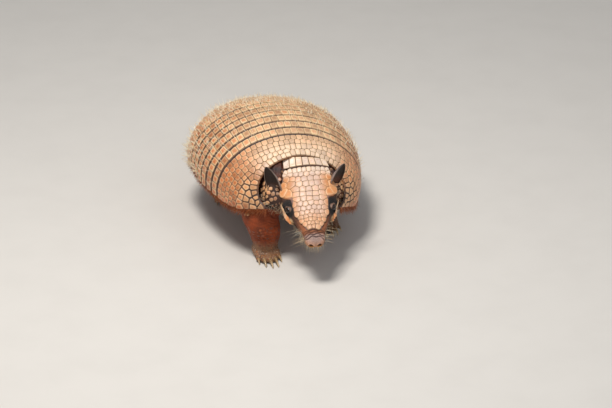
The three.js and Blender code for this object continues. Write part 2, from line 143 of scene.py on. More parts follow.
origin = np.zeros(3)  # set below, from the frame


def leaning(ahead, side, up):
    # a point of the trunk or shell, which lean together
    rise = up - shell["rollHeight"]
    cos, sin = math.cos(shell["roll"]), math.sin(shell["roll"])
    high = shell["rollHeight"] - side * sin + rise * cos
    return np.stack([side * cos + rise * sin, -ahead, high], -1) + origin


def rimAngle(ahead):
    rise = crownHeight(ahead) - widestHeight(ahead)
    return np.arccos(np.clip((rimHeight(ahead) - widestHeight(ahead)) / rise, -1, 1))


def shellSection(ahead, across, height):
    angle = across * rimAngle(ahead)
    wide = halfWidth(ahead)
    high = crownHeight(ahead) - widestHeight(ahead)
    outwards = unit(np.stack([np.sin(angle) / wide, np.cos(angle) / high], -1))
    return (wide * np.sin(angle) + height * outwards[..., 0],
            widestHeight(ahead) + high * np.cos(angle) + height * outwards[..., 1])


def shellAt(across, ahead, height):
    across, ahead, height = sameShape(across, ahead, height)
    return leaning(ahead, *shellSection(ahead, across, height))


def grooveLine(index):
    sweep = shell["bandSweep"] + shell["bandSweepGrowth"] * index
    return lambda across: shell["firstGroove"] - shell["bandPitch"] * index - sweep * across ** 2


def scapularFront(across):
    return shell["frontEdge"] + shell["frontReach"] * np.abs(across) ** shell["frontCurve"]


def rumpLine(across):
    return shell["rumpEnd"] + 0 * across


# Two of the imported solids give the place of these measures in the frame.
facetPlaces = np.linspace(-1, 1, shell["facets"] + 1)
halfGap = 0.5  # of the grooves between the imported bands
bandEdges = [grooveLine(5)(facetPlaces) - halfGap, grooveLine(6)(facetPlaces) + halfGap]
bandSix = np.concatenate([shellAt(facetPlaces, edge, 0) for edge in bandEdges])
origin = np.array([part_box("band_6")[0].x / mm - bandSix[:, 0].min(),
                   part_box("pelvic_shield")[1].y / mm + shell["rumpEnd"], 0])

head = dict(start=np.array([7, -54, 125]), turn=math.radians(8), pitch=math.radians(28.5),
            roll=math.radians(-2), shieldThickness=2.6, steepest=0.95, lowestRoof=0.3)
headTurning = np.array((Matrix.Rotation(-head["turn"], 3, "Z") @ Matrix.Rotation(head["pitch"], 3, "X")
                        @ Matrix.Rotation(head["roll"], 3, "Y")))
skullHalfWidth = through([(-10, 24), (0, 29), (20, 34), (38, 36.5), (54, 33), (70, 25.5), (85, 19),
                          (98, 14.6), (108, 13.4), (113, 11.5)])
skullBottom = through([(-10, -40), (0, -46), (20, -50), (40, -49), (60, -42), (80, -32.5), (98, -24),
                       (108, -21.5), (113, -18)])
skullTop = through([(-10, -4), (0, 0), (90, 0), (98, -0.5), (105, -2.5), (110, -5), (113, -8)])
roofRadius = through([(-10, 70), (0, 70), (30, 62), (45, 58), (66, 44), (85, 28), (97, 22), (113, 15)])
shieldHalfWidth = through([(0, 29.3), (8, 31.2), (17, 33.8), (27, 37), (35, 36.4), (41, 32), (46, 25),
                           (66, 22.9), (76, 19.6), (85, 15.2), (96, 10)])
eye = dict(radius=4.7, along=57, out=27.5, up=-13.2)


def headPoint(along, out, up):
    flat = np.stack(sameShape(out, -np.asarray(along), up), -1)
    return flat @ headTurning.T + head["start"] + origin


def headPlace(points):
    # along, out and up of points given in the frame
    flat = (points - head["start"] - origin) @ headTurning
    return -flat[..., 1], flat[..., 0], flat[..., 2]


def roofHeight(along, out):
    radius = roofRadius(along)
    rise = np.sqrt(np.maximum(radius ** 2 - out ** 2, (head["lowestRoof"] * radius) ** 2))
    return skullTop(along) - radius + rise


def roofAt(out, along, height):
    # a place over the head's roof, measured square to it
    out, along, height = sameShape(out, along, height)
    radius = roofRadius(along)
    lean = np.arcsin(np.clip(out / radius, -head["steepest"], head["steepest"]))
    return headPoint(along, (radius + height) * np.sin(lean),
                     skullTop(along) - radius + (radius + height) * np.cos(lean))


# Meshes
class MeshMaker:
    # gathers points and faces, with values for each point, and makes one object of them
    def __init__(self):
        self.points, self.faces, self.values = [], [], {}
        self.count = 0

    def add(self, points, faces, **values):
        points = np.asarray(points, float).reshape(-1, 3)
        self.points.append(points)
        for group in faces:
            if len(group):
                self.faces.append(np.asarray(group, int) + self.count)
        for name, value in values.items():
            value = np.asarray(value, float)
            if value.ndim == 0 or (value.ndim == 1 and len(value) != len(points)):
                value = np.broadcast_to(value, (len(points),) + value.shape)
            self.values.setdefault(name, []).append(value)
        self.count += len(points)

    def mesh(self, name, floor=-np.inf):
        mesh = bpy.data.meshes.new(name)
        points = np.concatenate(self.points) * mm
        points[:, 2] = np.maximum(points[:, 2], floor)
        mesh.from_pydata(points.tolist(), [], [face for group in self.faces for face in group.tolist()])
        return mesh

    def make(self, name, material, replaced=()):
        mesh = self.mesh(name, 0)  # nothing goes through the floor
        mesh.materials.append(material)
        mesh.shade_smooth()
        for key, parts in self.values.items():
            value = np.concatenate(parts).astype(np.float32)
            if key == "place":
                corner = np.empty(len(mesh.loops), np.int32)
                mesh.loops.foreach_get("vertex_index", corner)
                mesh.uv_layers.new(name="OFBake").data.foreach_set("uv", value[corner].ravel())
            elif value.ndim == 2:
                value = np.concatenate([value, np.ones((len(value), 1), np.float32)], 1)
                mesh.attributes.new(key, "FLOAT_COLOR", "POINT").data.foreach_set("color", value.ravel())
            else:
                mesh.attributes.new(key, "FLOAT", "POINT").data.foreach_set("value", value)
        piece = bpy.data.objects.new(name, mesh)
        bpy.context.scene.collection.objects.link(piece)
        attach(piece, "root")
        if replaced:
            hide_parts(*replaced)
        return piece


def gridFaces(rows, columns, wrap=False):
    # quads over a grid of points, turned outwards when columns run anticlockwise seen from outside
    i, j = np.meshgrid(np.arange(rows - 1), np.arange(columns if wrap else columns - 1), indexing="ij")
    after = (j + 1) % columns
    corners = [i * columns + j, i * columns + after, (i + 1) * columns + after, (i + 1) * columns + j]
    return np.stack([c.ravel() for c in corners], 1)


def tubeMesh(rings):
    # a closed skin over rings of points (rings, points, 3), capped by fans
    rings = np.asarray(rings, float)
    count, sides = rings.shape[:2]
    course = (rings[1] - rings[0]).sum(0)
    spokes = rings[0] - rings[0].mean(0)
    facing = np.cross(spokes, np.roll(spokes, -1, 0)).sum(0)
    if facing @ course < 0:
        rings = rings[:, ::-1]
    points = np.concatenate([rings.reshape(-1, 3), rings[:1].mean(1), rings[-1:].mean(1)])
    low, high = count * sides, count * sides + 1
    j = np.arange(sides)
    after = (j + 1) % sides
    first = np.stack([np.full(sides, low), after, j], 1)
    last = np.stack([np.full(sides, high), (count - 1) * sides + j, (count - 1) * sides + after], 1)
    return points, [gridFaces(count, sides, True), first, last]


def ellipse(centre, a, b, sides, squareness=1.0):
    angle = np.linspace(0, fullTurn, sides, endpoint=False)
    cos, sin = np.cos(angle), np.sin(angle)
    cos = np.sign(cos) * np.abs(cos) ** (1 / squareness)
    sin = np.sign(sin) * np.abs(sin) ** (1 / squareness)
    return centre + cos[:, None] * a + sin[:, None] * b


# Scutes: each takes the room among its neighbours and is raised into a small plate.


def clipped(outline, normal, limit):
    # the part of an outline where point . normal is within the limit
    kept = []
    for i, point in enumerate(outline):
        before = outline[i - 1]
        here = point[0] * normal[0] + point[1] * normal[1] - limit
        there = before[0] * normal[0] + before[1] * normal[1] - limit
        if (here < 0) != (there < 0):
            t = there / (there - here)
            kept.append((before[0] + (point[0] - before[0]) * t, before[1] + (point[1] - before[1]) * t))
        if here < 0:
            kept.append(point)
    return kept


def cellsOf(seeds, ghosts, at, reach, seam):
    # the room of each seed among its neighbours, as an outline in millimetres about the seed;
    # ghosts are seeds past an edge, which only hold their neighbours back
    seeds = np.asarray(seeds, float)
    everyone = np.concatenate([seeds, np.asarray(ghosts, float).reshape(-1, 2)])
    seam = np.broadcast_to(seam, len(seeds))
    points = at(everyone[:, 0], everyone[:, 1], 0)
    p, q = seeds.T
    stepP, stepQ = (1e-4 * max(np.ptp(values), 1e-6) for values in (p, q))
    alongP = (at(p + stepP, q, 0) - at(p - stepP, q, 0)) / (2 * stepP)
    alongQ = (at(p, q + stepQ, 0) - at(p, q - stepQ, 0)) / (2 * stepQ)
    normal = unit(np.cross(alongP, alongQ))
    xAxis = unit(alongP)
    yAxis = np.cross(normal, xAxis)
    turns = np.linspace(0, fullTurn, 12, endpoint=False)
    widest = [(reach * math.cos(a), reach * math.sin(a)) for a in turns]
    cells = []
    for i in range(len(seeds)):
        offset = points - points[i]
        near = np.flatnonzero((offset ** 2).sum(1) < (2 * reach) ** 2)
        flat = np.stack([offset[near] @ xAxis[i], offset[near] @ yAxis[i]], 1)
        outline = widest
        for j, (x, y) in zip(near, flat):
            gap = math.hypot(x, y)
            if j != i and gap > 1e-6:
                outline = clipped(outline, (x / gap, y / gap), gap / 2 - seam[i])
                if len(outline) < 3:
                    break
        if len(outline) < 3:
            continue
        metric = np.array([[alongP[i] @ xAxis[i], alongQ[i] @ xAxis[i]],
                           [alongP[i] @ yAxis[i], alongQ[i] @ yAxis[i]]])
        cells.append(dict(seed=seeds[i], outline=outline, back=np.linalg.inv(metric), index=i))
    return cells


def filleted(outline, radius):
    # corners rounded by short arcs; edges too short for one are dropped first
    kept = [p for i, p in enumerate(outline) if math.dist(p, outline[i - 1]) > 0.5]
    if len(kept) < 3:
        kept = outline
    points = np.array(kept)
    before, after = np.roll(points, 1, 0) - points, np.roll(points, -1, 0) - points
    reach = [radius / np.maximum(np.linalg.norm(side, axis=1), 1e-6) for side in (before, after)]
    share = [np.minimum(0.46, r)[:, None] for r in reach]
    start, end = points + before * share[0], points + after * share[1]
    arcs = [start * (1 - t) ** 2 + points * 2 * t * (1 - t) + end * t * t for t in (0.0, 0.33, 0.67, 1.0)]
    return np.stack(arcs, 1).reshape(-1, 2)


def addScutes(maker, cells, at, look, toneOf, unwrap, draw):
    # look: profile of (inset, height) from the seam in, corner radius, full size, unevenness, slope back
    parameters, heights, values, faces, bakes = [], [], [], [], []
    count = 0
    rings = len(look["profile"])
    for cell in cells:
        outline = filleted(cell["outline"], look["corner"])
        centre = outline.mean(0)
        spoke = outline - centre
        reach = np.linalg.norm(spoke, axis=1).mean()
        if reach < 0.8:
            continue
        size = min(1.0, reach / look["fullSize"])
        lift = draw.normal() * look["uneven"] * size
        tilt = draw.normal(size=2) * look["uneven"] * 0.12
        tint = draw.uniform()
        sides = len(outline)
        insets = [min(inset * size / reach, 0.9) for inset, _ in look["profile"]]
        grown = np.array([1 - inset for inset in insets] + [0.0])
        top = look["profile"][-1][1] * size + 0.03
        high = np.array([height * size for _, height in look["profile"]] + [top])
        places = np.concatenate([centre + spoke * share for share in grown[:-1]] + [centre[None]])
        level = np.concatenate([np.repeat(high[:-1], sides), high[-1:]])
        raised = level > look["profile"][0][1] * size + 0.1
        level = level + np.where(raised, lift + places @ tilt - look["slope"] * places[:, 1] / reach, 0)
        level += raised * draw.normal(size=len(level)) * look["uneven"] * 0.18
        inner = np.concatenate([np.repeat(1 - grown[:-1], sides), [1.0]])
        parameters.append(cell["seed"] + places @ cell["back"].T)
        heights.append(level)
        values.append(np.stack([inner, np.full(len(level), tint)], 1))
        wider = grown[:-1] + 0.06 * (np.arange(rings) == 0)
        spread = np.concatenate([centre + spoke * share for share in wider] + [centre[None]])
        bakes.append(cell["seed"] + spread @ cell["back"].T)
        quads = gridFaces(rings, sides, True) + count
        j = np.arange(sides)
        last = count + (rings - 1) * sides
        fan = np.stack([last + j, last + (j + 1) % sides, np.full(sides, count + rings * sides)], 1)
        faces.append((quads, fan))
        count += rings * sides + 1
    parameters, heights = np.concatenate(parameters), np.concatenate(heights)
    values, bakes = np.concatenate(values), np.concatenate(bakes)
    points = at(parameters[:, 0], parameters[:, 1], heights)
    maker.add(points, [np.concatenate([f[0] for f in faces]), np.concatenate([f[1] for f in faces])],
              inner=values[:, 0], tint=values[:, 1], tone=toneOf(parameters, points, values[:, 1]),
              cream=look["cream"] * (0.6 + 0.8 * values[:, 1]),
              place=unwrap(bakes),
              edge=np.interp(np.abs(parameters[:, 0]), look["edgeSpan"], look["edge"]))


# Materials
class Value:
    # a number socket that takes part in sums: each operator adds its Math node
    def __init__(self, paint, socket):
        self.paint, self.socket = paint, socket

    def math(self, operation, *others):
        values = dict(enumerate((self,) + others))
        return self.paint.value("ShaderNodeMath", dict(operation=operation), values)

    def __add__(self, other):
        return self.math("ADD", other)

    def __sub__(self, other):
        return self.math("SUBTRACT", other)

    def __rsub__(self, other):
        return Value(self.paint, other).math("SUBTRACT", self)

    def __mul__(self, other):
        return self.math("MULTIPLY", other)

    __radd__, __rmul__ = __add__, __mul__

    def between(self, low, high):
        # 0 at low, 1 at high, smooth between
        settings = dict(interpolation_type="SMOOTHSTEP")
        return self.paint.value("ShaderNodeMapRange", settings,
                                {"Value": self, "From Min": low, "From Max": high}, "Result")


class Paint:
    # one material and its nodes
    def __init__(self, name):
        self.material = bpy.data.materials.new(name)
        self.material.use_nodes = True
        self.tree = self.material.node_tree
        self.surface = self.tree.nodes["Principled BSDF"]
        self.where = self.node("ShaderNodeTexCoord", {}, {}).outputs["Object"]

    def node(self, kind, settings, values):
        # settings first, then the values or links of its sockets
        node = self.tree.nodes.new(kind)
        for key, value in settings.items():
            setattr(node, key, value)
        for key, value in values.items():
            self.put(node.inputs[key], value)
        return node

    def put(self, socket, value):
        value = value.socket if isinstance(value, Value) else value
        if isinstance(value, bpy.types.NodeSocket):
            self.tree.links.new(value, socket)
        elif isinstance(value, (tuple, list, np.ndarray)):
            socket.default_value = [*value, 1.0][:len(socket.default_value)]
        else:
            socket.default_value = value

    def value(self, kind, settings, values, output=0):
        return Value(self, self.node(kind, settings, values).outputs[output])

    def noise(self, size, detail=3.0, rough=0.55, warp=0.0):
        values = {"Vector": self.where, "Scale": 1 / (size * mm), "Detail": detail, "Roughness": rough,
                  "Distortion": warp}
        return self.value("ShaderNodeTexNoise", {}, values, "Fac")

    def cells(self, size, feature="F1", chance=1.0):
        return self.value("ShaderNodeTexVoronoi", dict(feature=feature),
                          {"Vector": self.where, "Scale": 1 / (size * mm), "Randomness": chance}, "Distance")

    def number(self, name):
        return self.value("ShaderNodeAttribute", dict(attribute_name=name), {}, "Fac")

    def colour(self, name):
        return self.node("ShaderNodeAttribute", dict(attribute_name=name), {}).outputs["Color"]

    def mix(self, share, first, second, blend="MIX"):
        settings = dict(data_type="RGBA", blend_type=blend)
        return self.node("ShaderNodeMix", settings, {0: share, 6: first, 7: second}).outputs[2]

    def darker(self, share, colour, tint):
        # a share of the colour, multiplied by a tint
        return self.mix(share, colour, self.mix(1.0, colour, tint, "MULTIPLY"))

    def bump(self, height, strength, distance):
        values = {"Height": height, "Strength": strength, "Distance": distance * mm}
        return self.node("ShaderNodeBump", {}, values).outputs["Normal"]

    def finish(self, colour, roughness, normal=None, **fixed):
        self.put(self.surface.inputs["Base Color"], colour)
        self.put(self.surface.inputs["Roughness"], roughness)
        if normal is not None:
            self.put(self.surface.inputs["Normal"], normal)
        for key, value in fixed.items():
            self.put(self.surface.inputs[key.replace("_", " ")], value)
        return self.material


scuteLook = dict(
    # sizes of the mottle, blotch, grain and pits; where inwards the rim ends and the furrow runs
    mottleSize=3.4, blotchSize=14, grainSize=0.55, pitSize=1.5, rim=0.13, furrow=0.36, furrowWidth=0.13,
    blotching=0.9, mottleShare=0.42, glintShare=0.9, furrowShare=0.25, pitShare=0.5, grainShare=0.2,
    # pale is the colour of the painted glints on the scutes
    seam=rgb(92, 50, 28), cream=rgb(244, 214, 166), pale=rgb(252, 234, 214), rust=rgb(206, 110, 48),
    mottle=rgb(178, 128, 96), furrowTone=rgb(190, 98, 44), pit=rgb(120, 62, 30), grain=rgb(150, 92, 52),
    roughness=0.3, coat=0.2, coatRoughness=0.3, relief=0.5, reliefHeight=0.26,
)


def scuteHorn():
    look = scuteLook
    paint = Paint("scute_horn")
    inner, tint, tone = paint.number("inner"), paint.number("tint"), paint.colour("tone")
    cream, edge = paint.number("cream"), paint.number("edge")
    blotch = paint.noise(look["blotchSize"], 4, 0.6)
    grain = paint.noise(look["grainSize"], 4, 0.65)
    mottle = paint.noise(look["mottleSize"], 4, 0.7, 0.4)
    pits = paint.cells(look["pitSize"])
    start, end = look["furrow"], look["furrow"] + look["furrowWidth"]
    furrow = inner.between(start - look["furrowWidth"], start) * (1 - inner.between(start, end))
    pitted = (1 - pits.between(0.12, 0.34)) * furrow
    heart = inner + (blotch - 0.5) * look["blotching"]
    colour = paint.mix(tint.between(0.6, 1.0) * 0.25, tone, look["rust"])
    colour = paint.darker(mottle.between(0.5, 0.74) * look["mottleShare"], colour, look["mottle"])
    # pale flecks where the mottle is low, more where there is more cream: painted glints
    colour = paint.mix((1 - mottle.between(0.26, 0.44)) * cream * look["glintShare"], colour, look["pale"])
    colour = paint.mix((1 - heart.between(0.1, 0.72)) * cream, colour, look["cream"])
    colour = paint.mix(furrow * look["furrowShare"], colour, look["furrowTone"])
    colour = paint.mix(pitted * look["pitShare"], colour, look["pit"])
    colour = paint.mix((1 - inner.between(0.02, look["rim"])) * edge, colour, look["seam"])
    colour = paint.mix(grain.between(0.55, 0.8) * look["grainShare"], colour, look["grain"])
    roughness = grain * 0.25 + look["roughness"] + furrow * 0.12
    relief = paint.bump(grain + mottle * 1.4 + pitted * -0.8, look["relief"], look["reliefHeight"])
    return paint.finish(colour, roughness, relief, Coat_Weight=look["coat"],
                        Coat_Roughness=look["coatRoughness"])


seamLook = dict(fleckSize=1.6, fleck=rgb(176, 166, 158), fleckShare=0.45, bumpSize=0.9, roughness=0.7,
                relief=0.6, reliefHeight=0.3)


def bedSkin():
    look = seamLook
    paint = Paint("seam_skin")
    fleck = paint.noise(look["fleckSize"], 3, 0.6)
    colour = paint.mix(fleck.between(0.5, 0.78) * look["fleckShare"], paint.colour("tone"), look["fleck"])
    relief = paint.bump(paint.noise(look["bumpSize"], 3), look["relief"], look["reliefHeight"])
    return paint.finish(colour, look["roughness"], relief)


skinLook = dict(
    broadSize=9, fineSize=1.4, creaseSize=2.6, broad=rgb(186, 150, 120), broadShare=0.35,
    crease=rgb(120, 92, 80), creaseShadeShare=0.30, fleck=rgb(198, 142, 104), fleckShare=0.16, roughness=0.66,
    wetness=0.42, relief=0.55, reliefHeight=0.35, glow=0.06, glowDepth=0.002, glowTint=(1.0, 0.4, 0.25),
)


def softSkin():
    look = skinLook
    paint = Paint("skin")
    broad, fine = paint.noise(look["broadSize"], 4, 0.6), paint.noise(look["fineSize"], 3, 0.6)
    creases = paint.cells(look["creaseSize"], "DISTANCE_TO_EDGE")
    tone, wet = paint.colour("tone"), paint.number("wet")
    colour = paint.darker(broad.between(0.4, 0.72) * look["broadShare"], tone, look["broad"])
    # darker along the skin's creases: painted shade
    colour = paint.darker((1 - creases.between(0.0, 0.13)) * look["creaseShadeShare"], colour, look["crease"])
    colour = paint.mix(fine.between(0.58, 0.8) * look["fleckShare"], colour, look["fleck"])
    roughness = look["roughness"] + fine * 0.12 - wet * look["wetness"]
    relief = paint.bump(creases.between(0.0, 0.3) + fine * 0.5, look["relief"], look["reliefHeight"])
    return paint.finish(colour, roughness, relief, Subsurface_Weight=look["glow"],
                        Subsurface_Scale=look["glowDepth"], Subsurface_Radius=look["glowTint"])


hairLook = dict(
    straw=(rgb(255, 246, 222), rgb(224, 184, 128)), rust=(rgb(206, 118, 58), rgb(128, 56, 24)),
    dark=rgb(58, 42, 34), roughness=0.42,
)


def longHair(name):
    paint = Paint(f"{name}_hair")
    colour = paint.mix(paint.number("tint"), *hairLook[name])
    colour = paint.mix(paint.number("dark"), colour, hairLook["dark"])
    return paint.finish(colour, hairLook["roughness"])


clawLook = dict(
    streakSize=2.2, pale=rgb(178, 146, 104), deep=rgb(120, 90, 60), tip=rgb(226, 204, 164), tipShare=0.6,
    roughness=0.3, coat=0.2,
)


def clawHorn():
    look = clawLook
    paint = Paint("claw_horn")
    streak = paint.noise(look["streakSize"], 4, 0.7, 0.6)
    colour = paint.mix(streak.between(0.35, 0.7), look["pale"], look["deep"])
    colour = paint.mix(paint.number("inner").between(0.4, 1.0) * look["tipShare"], colour, look["tip"])
    return paint.finish(colour, streak * 0.25 + look["roughness"], paint.bump(streak, 0.3, 0.2),
                        Coat_Weight=look["coat"])


eyeLook = dict(pupil=rgb(18, 11, 8), iris=rgb(40, 24, 15), irisShare=0.9, roughness=0.08, coat=0.45,
               coatRoughness=0.02, gloss=0.3)


def wetEye():
    look = eyeLook
    paint = Paint("eye")
    glow = paint.number("inner").between(0.2, 0.9)
    colour = paint.mix(glow * look["irisShare"], look["pupil"], look["iris"])
    return paint.finish(colour, look["roughness"], None, Coat_Weight=look["coat"],
                        Coat_Roughness=look["coatRoughness"], Specular_IOR_Level=look["gloss"])


horn, seamSkin, skinCoat, clawCoat, eyeCoat = scuteHorn(), bedSkin(), softSkin(), clawHorn(), wetEye()
straw, rust = longHair("straw"), longHair("rust")
print("materials made")


# The shell: a scapular shield, six bands and a pelvic shield, each a bed with its scutes
shellTones = dict(
    crown=rgb(222, 178, 140), band=rgb(200, 146, 102), flank=rgb(200, 114, 56), rim=rgb(182, 82, 32),
    pink=rgb(224, 170, 138), front=rgb(240, 210, 184), corner=rgb(236, 190, 138), groove=rgb(24, 26, 34),
    seam=rgb(116, 70, 44), lip=rgb(176, 116, 72), least=0.72, vary=0.5,
)
# where each tone comes in, across or ahead, and how strongly
shellZones = dict(
    flank=(0.18, 0.72), rim=(0.84, 1.0), rump=(-150, -205), nape=(8, 34), napeWidth=(0.5, 0.2),
    behind=(2, -6), farBehind=(-10, -60), rimShare=0.65, cornerShare=0.5, rumpShare=0.85,
    cornerAcross=(0.46, 0.72), cornerReach=(28, 10),
)
shellUnwrap = dict(low=-216.0, high=66.0, width=0.47, margin=0.02)


def shellTone(parameters, points, tint):
    across, ahead = np.abs(parameters[:, 0]), parameters[:, 1]
    t, zones = shellTones, shellZones
    flank = step(*zones["flank"], across)[:, None]
    rim = step(*zones["rim"], across)[:, None]
    rump = step(*zones["rump"], ahead)[:, None]
    nape = (step(*zones["nape"], ahead) * step(*zones["napeWidth"], across))[:, None]
    behind = (step(*zones["behind"], ahead) * (0.5 + 0.5 * step(*zones["farBehind"], ahead)))[:, None]
    tone = mixed(mixed(t["crown"], t["band"], behind), t["flank"], flank)
    tone = mixed(tone, t["front"], nape)
    tone = mixed(tone, t["rim"], zones["rimShare"] * rim)
    tone = mixed(tone, t["corner"], frontCorner(across, ahead)[:, None] * zones["cornerShare"])
    tone = mixed(tone, t["pink"], zones["rumpShare"] * rump)
    return np.clip(tone * (t["least"] + t["vary"] * tint[:, None]), 0, 1)


def unwrapShell(parameters):
    low, high, margin = shellUnwrap["low"], shellUnwrap["high"], shellUnwrap["margin"]
    along = (1 - 2 * margin) * (parameters[:, 1] - low) / (high - low)
    return np.stack([0.5 + shellUnwrap["width"] * parameters[:, 0], margin + along], 1)


def unwrapBetween(front, back):
    # one plate spread over its whole map, rim to rim and back edge to front edge
    margin, edge = 0.02, 0.001

    def at(parameters):
        across, ahead = parameters[:, 0], parameters[:, 1]
        low, high = back(across), front(across)
        along = margin + (1 - 2 * margin) * (ahead - low) / (high - low)
        return np.clip(np.stack([0.5 + 0.48 * across, along], 1), edge, 1 - edge)
    return at


def girth(line):
    # length of a line across the shell, and the places across that cut it evenly
    places = np.linspace(-1, 1, 200)
    lengths = lengthsAlong(shellAt(places, line(places), 0))
    return lengths[-1], lambda share: np.interp(share * lengths[-1], lengths, places)


def seedRow(line, pitch, stagger, draw, jitter):
    # seeds along a line across the shell, with one more past each rim
    length, placeAt = girth(line)
    count = max(round(length / pitch), 3)
    share = (np.arange(count) + 0.5 + stagger) / count
    inside = share[(share > 0.25 / count) & (share < 1 - 0.25 / count)]
    wobble = draw.normal(size=len(inside)) * jitter / length
    across = placeAt(np.clip(inside + wobble, 0, 1))
    seeds = np.stack([across, line(across) + draw.normal(size=len(across)) * jitter], 1)
    rimGhosts = np.array([[2 * side - seeds[k, 0], seeds[k, 1]] for side, k in ((-1, 0), (1, -1))])
    return seeds, rimGhosts


def mirrored(seeds, line):
    # ghosts past a line across the shell
    return np.stack([seeds[:, 0], 2 * line(seeds[:, 0]) - seeds[:, 1]], 1)


domed = [(-0.15, -1.0), (0.0, -0.35), (0.18, 0.12), (0.6, 0.42), (1.3, 0.5), (2.1, 0.42), (2.9, 0.56)]
plainDome = [(-0.15, -1.0), (0.0, -0.35), (0.2, 0.12), (0.7, 0.42), (1.6, 0.56), (2.6, 0.62)]
shieldLook = dict(profile=domed, corner=1.3, fullSize=3.4, uneven=0.09, slope=0.02, cream=0.4,
                  edge=(0.6, 0.85), edgeSpan=(0.2, 0.7))
pelvicLook = dict(shieldLook, corner=1.1, slope=0.08, cream=0.6, edge=(0.4, 0.85))
bandLook = dict(shieldLook, corner=0.9, fullSize=3.6, uneven=0.1, slope=0.15, cream=0.68, edge=(0.4, 0.95))
scapularSizes = dict(
    firstRow=8.6, firstPitch=7.592, firstJitter=0.15, pitch=7.3, rowPitch=6.9, rows=8, jitter=0.55,
    edgeRow=3.2, edgePitch=6.6, edgeJitter=0.3, edgeGhost=0.5, edgeRoom=7.6, seam=0.16, cornerSeam=0.85,
    reach=6.5,
)
bandSizes = dict(pitch=9.2, jitter=0.22, grooveSeam=2.0, seam=0.14, reach=13)
pelvicSizes = dict(
    pitch=8.6, rowPitch=8.9, firstRow=11, firstJitter=0.15, mostRows=16, straighten=0.25, lastGap=2.5,
    rumpRow=12, jitter=0.4, seam=0.16, reach=8.5,
)


def scapularCells(draw):
    sizes = scapularSizes
    groove, start = grooveLine(0), bandSizes["grooveSeam"]
    seeds, ghosts = [], []
    row, rims = seedRow(lambda a: groove(a) + start + sizes["firstRow"] / 2, sizes["firstPitch"], 0, draw,
                        sizes["firstJitter"])
    seeds.append(row)
    edge, edgeRims = seedRow(lambda a: scapularFront(a) - sizes["edgeRow"], sizes["edgePitch"], 0.5, draw,
                             sizes["edgeJitter"])
    ghosts += [rims, mirrored(row, lambda a: groove(a) + start - sizes["seam"])]
    for k in range(sizes["rows"]):
        offset = start + sizes["firstRow"] + sizes["rowPitch"] * (k + 0.5)
        line = lambda a, offset=offset: groove(a) + offset
        row, rims = seedRow(line, sizes["pitch"], 0.5 * (k % 2), draw, sizes["jitter"])
        ghosts.append(rims)
        seeds.append(row)
    seeds = np.concatenate(seeds)
    left = scapularFront(seeds[:, 0]) - seeds[:, 1]
    seeds = np.concatenate([seeds[left > sizes["edgeRoom"]], edge])
    ghosts += [edgeRims, mirrored(edge, lambda a: scapularFront(a) + sizes["edgeGhost"])]
    corner = frontCorner(seeds[:, 0], seeds[:, 1])
    seam = sizes["seam"] + (sizes["cornerSeam"] - sizes["seam"]) * corner
    return cellsOf(seeds, np.concatenate(ghosts), shellAt, sizes["reach"], seam)


def bandCells(index, draw):
    sizes = bandSizes
    front, back = grooveLine(index), grooveLine(index + 1)
    row, rims = seedRow(lambda a: (front(a) + back(a)) / 2, sizes["pitch"], 0, draw, sizes["jitter"])
    inFront = mirrored(row, lambda a: front(a) - sizes["grooveSeam"] + sizes["seam"])
    behind = mirrored(row, lambda a: back(a) + sizes["grooveSeam"] - sizes["seam"])
    return cellsOf(row, np.concatenate([rims, inFront, behind]), shellAt, sizes["reach"], sizes["seam"])


def pelvicCells(draw):
    sizes = pelvicSizes
    groove = grooveLine(shell["bandCount"])
    seeds, ghosts = [], []
    depth = -bandSizes["grooveSeam"]
    fades = through([(0, 1), (sizes["mostRows"], sizes["straighten"])])  # the rows straighten to the rump
    for k in range(sizes["mostRows"]):
        length = sizes["rowPitch"] if k else sizes["firstRow"]
        line = lambda a, d=depth - length / 2, f=fades(k): groove(0) + (groove(a) - groove(0)) * f + d
        if groove(0) + depth - length / 2 < shell["rumpEnd"] + sizes["lastGap"]:
            break
        jitter = sizes["jitter" if k else "firstJitter"]
        row, rims = seedRow(line, sizes["pitch"], 0.5 * (k % 2), draw, jitter)
        if k == 0:
            ghosts.append(mirrored(row, lambda a: groove(a) - bandSizes["grooveSeam"] + sizes["seam"]))
        seeds.append(row)
        ghosts.append(rims)
        depth -= length
    seeds = np.concatenate(seeds)
    near = seeds[seeds[:, 1] < shell["rumpEnd"] + sizes["rumpRow"]]
    ghosts.append(mirrored(near, rumpLine))
    return cellsOf(seeds, np.concatenate(ghosts), shellAt, sizes["reach"], sizes["seam"])


def frontCorner(across, ahead):
    # 1 near the shell's two front corners, 0 elsewhere
    reach = scapularFront(across) - ahead
    return step(*shellZones["cornerAcross"], np.abs(across)) * step(*shellZones["cornerReach"], reach)


# the plate under the scutes: how deep it lies, and how wide its rounded edges and dark grooves are
bed = dict(columns=121, depth=0.75, edgeDepth=1.3, edgeWidth=2.0, rim=(1.0, 0.985), rimDepth=0.9,
           lip=(0.3, 1.5), groove=(1.5, 2.8), corner=0.85, clear=0.06, far=99)


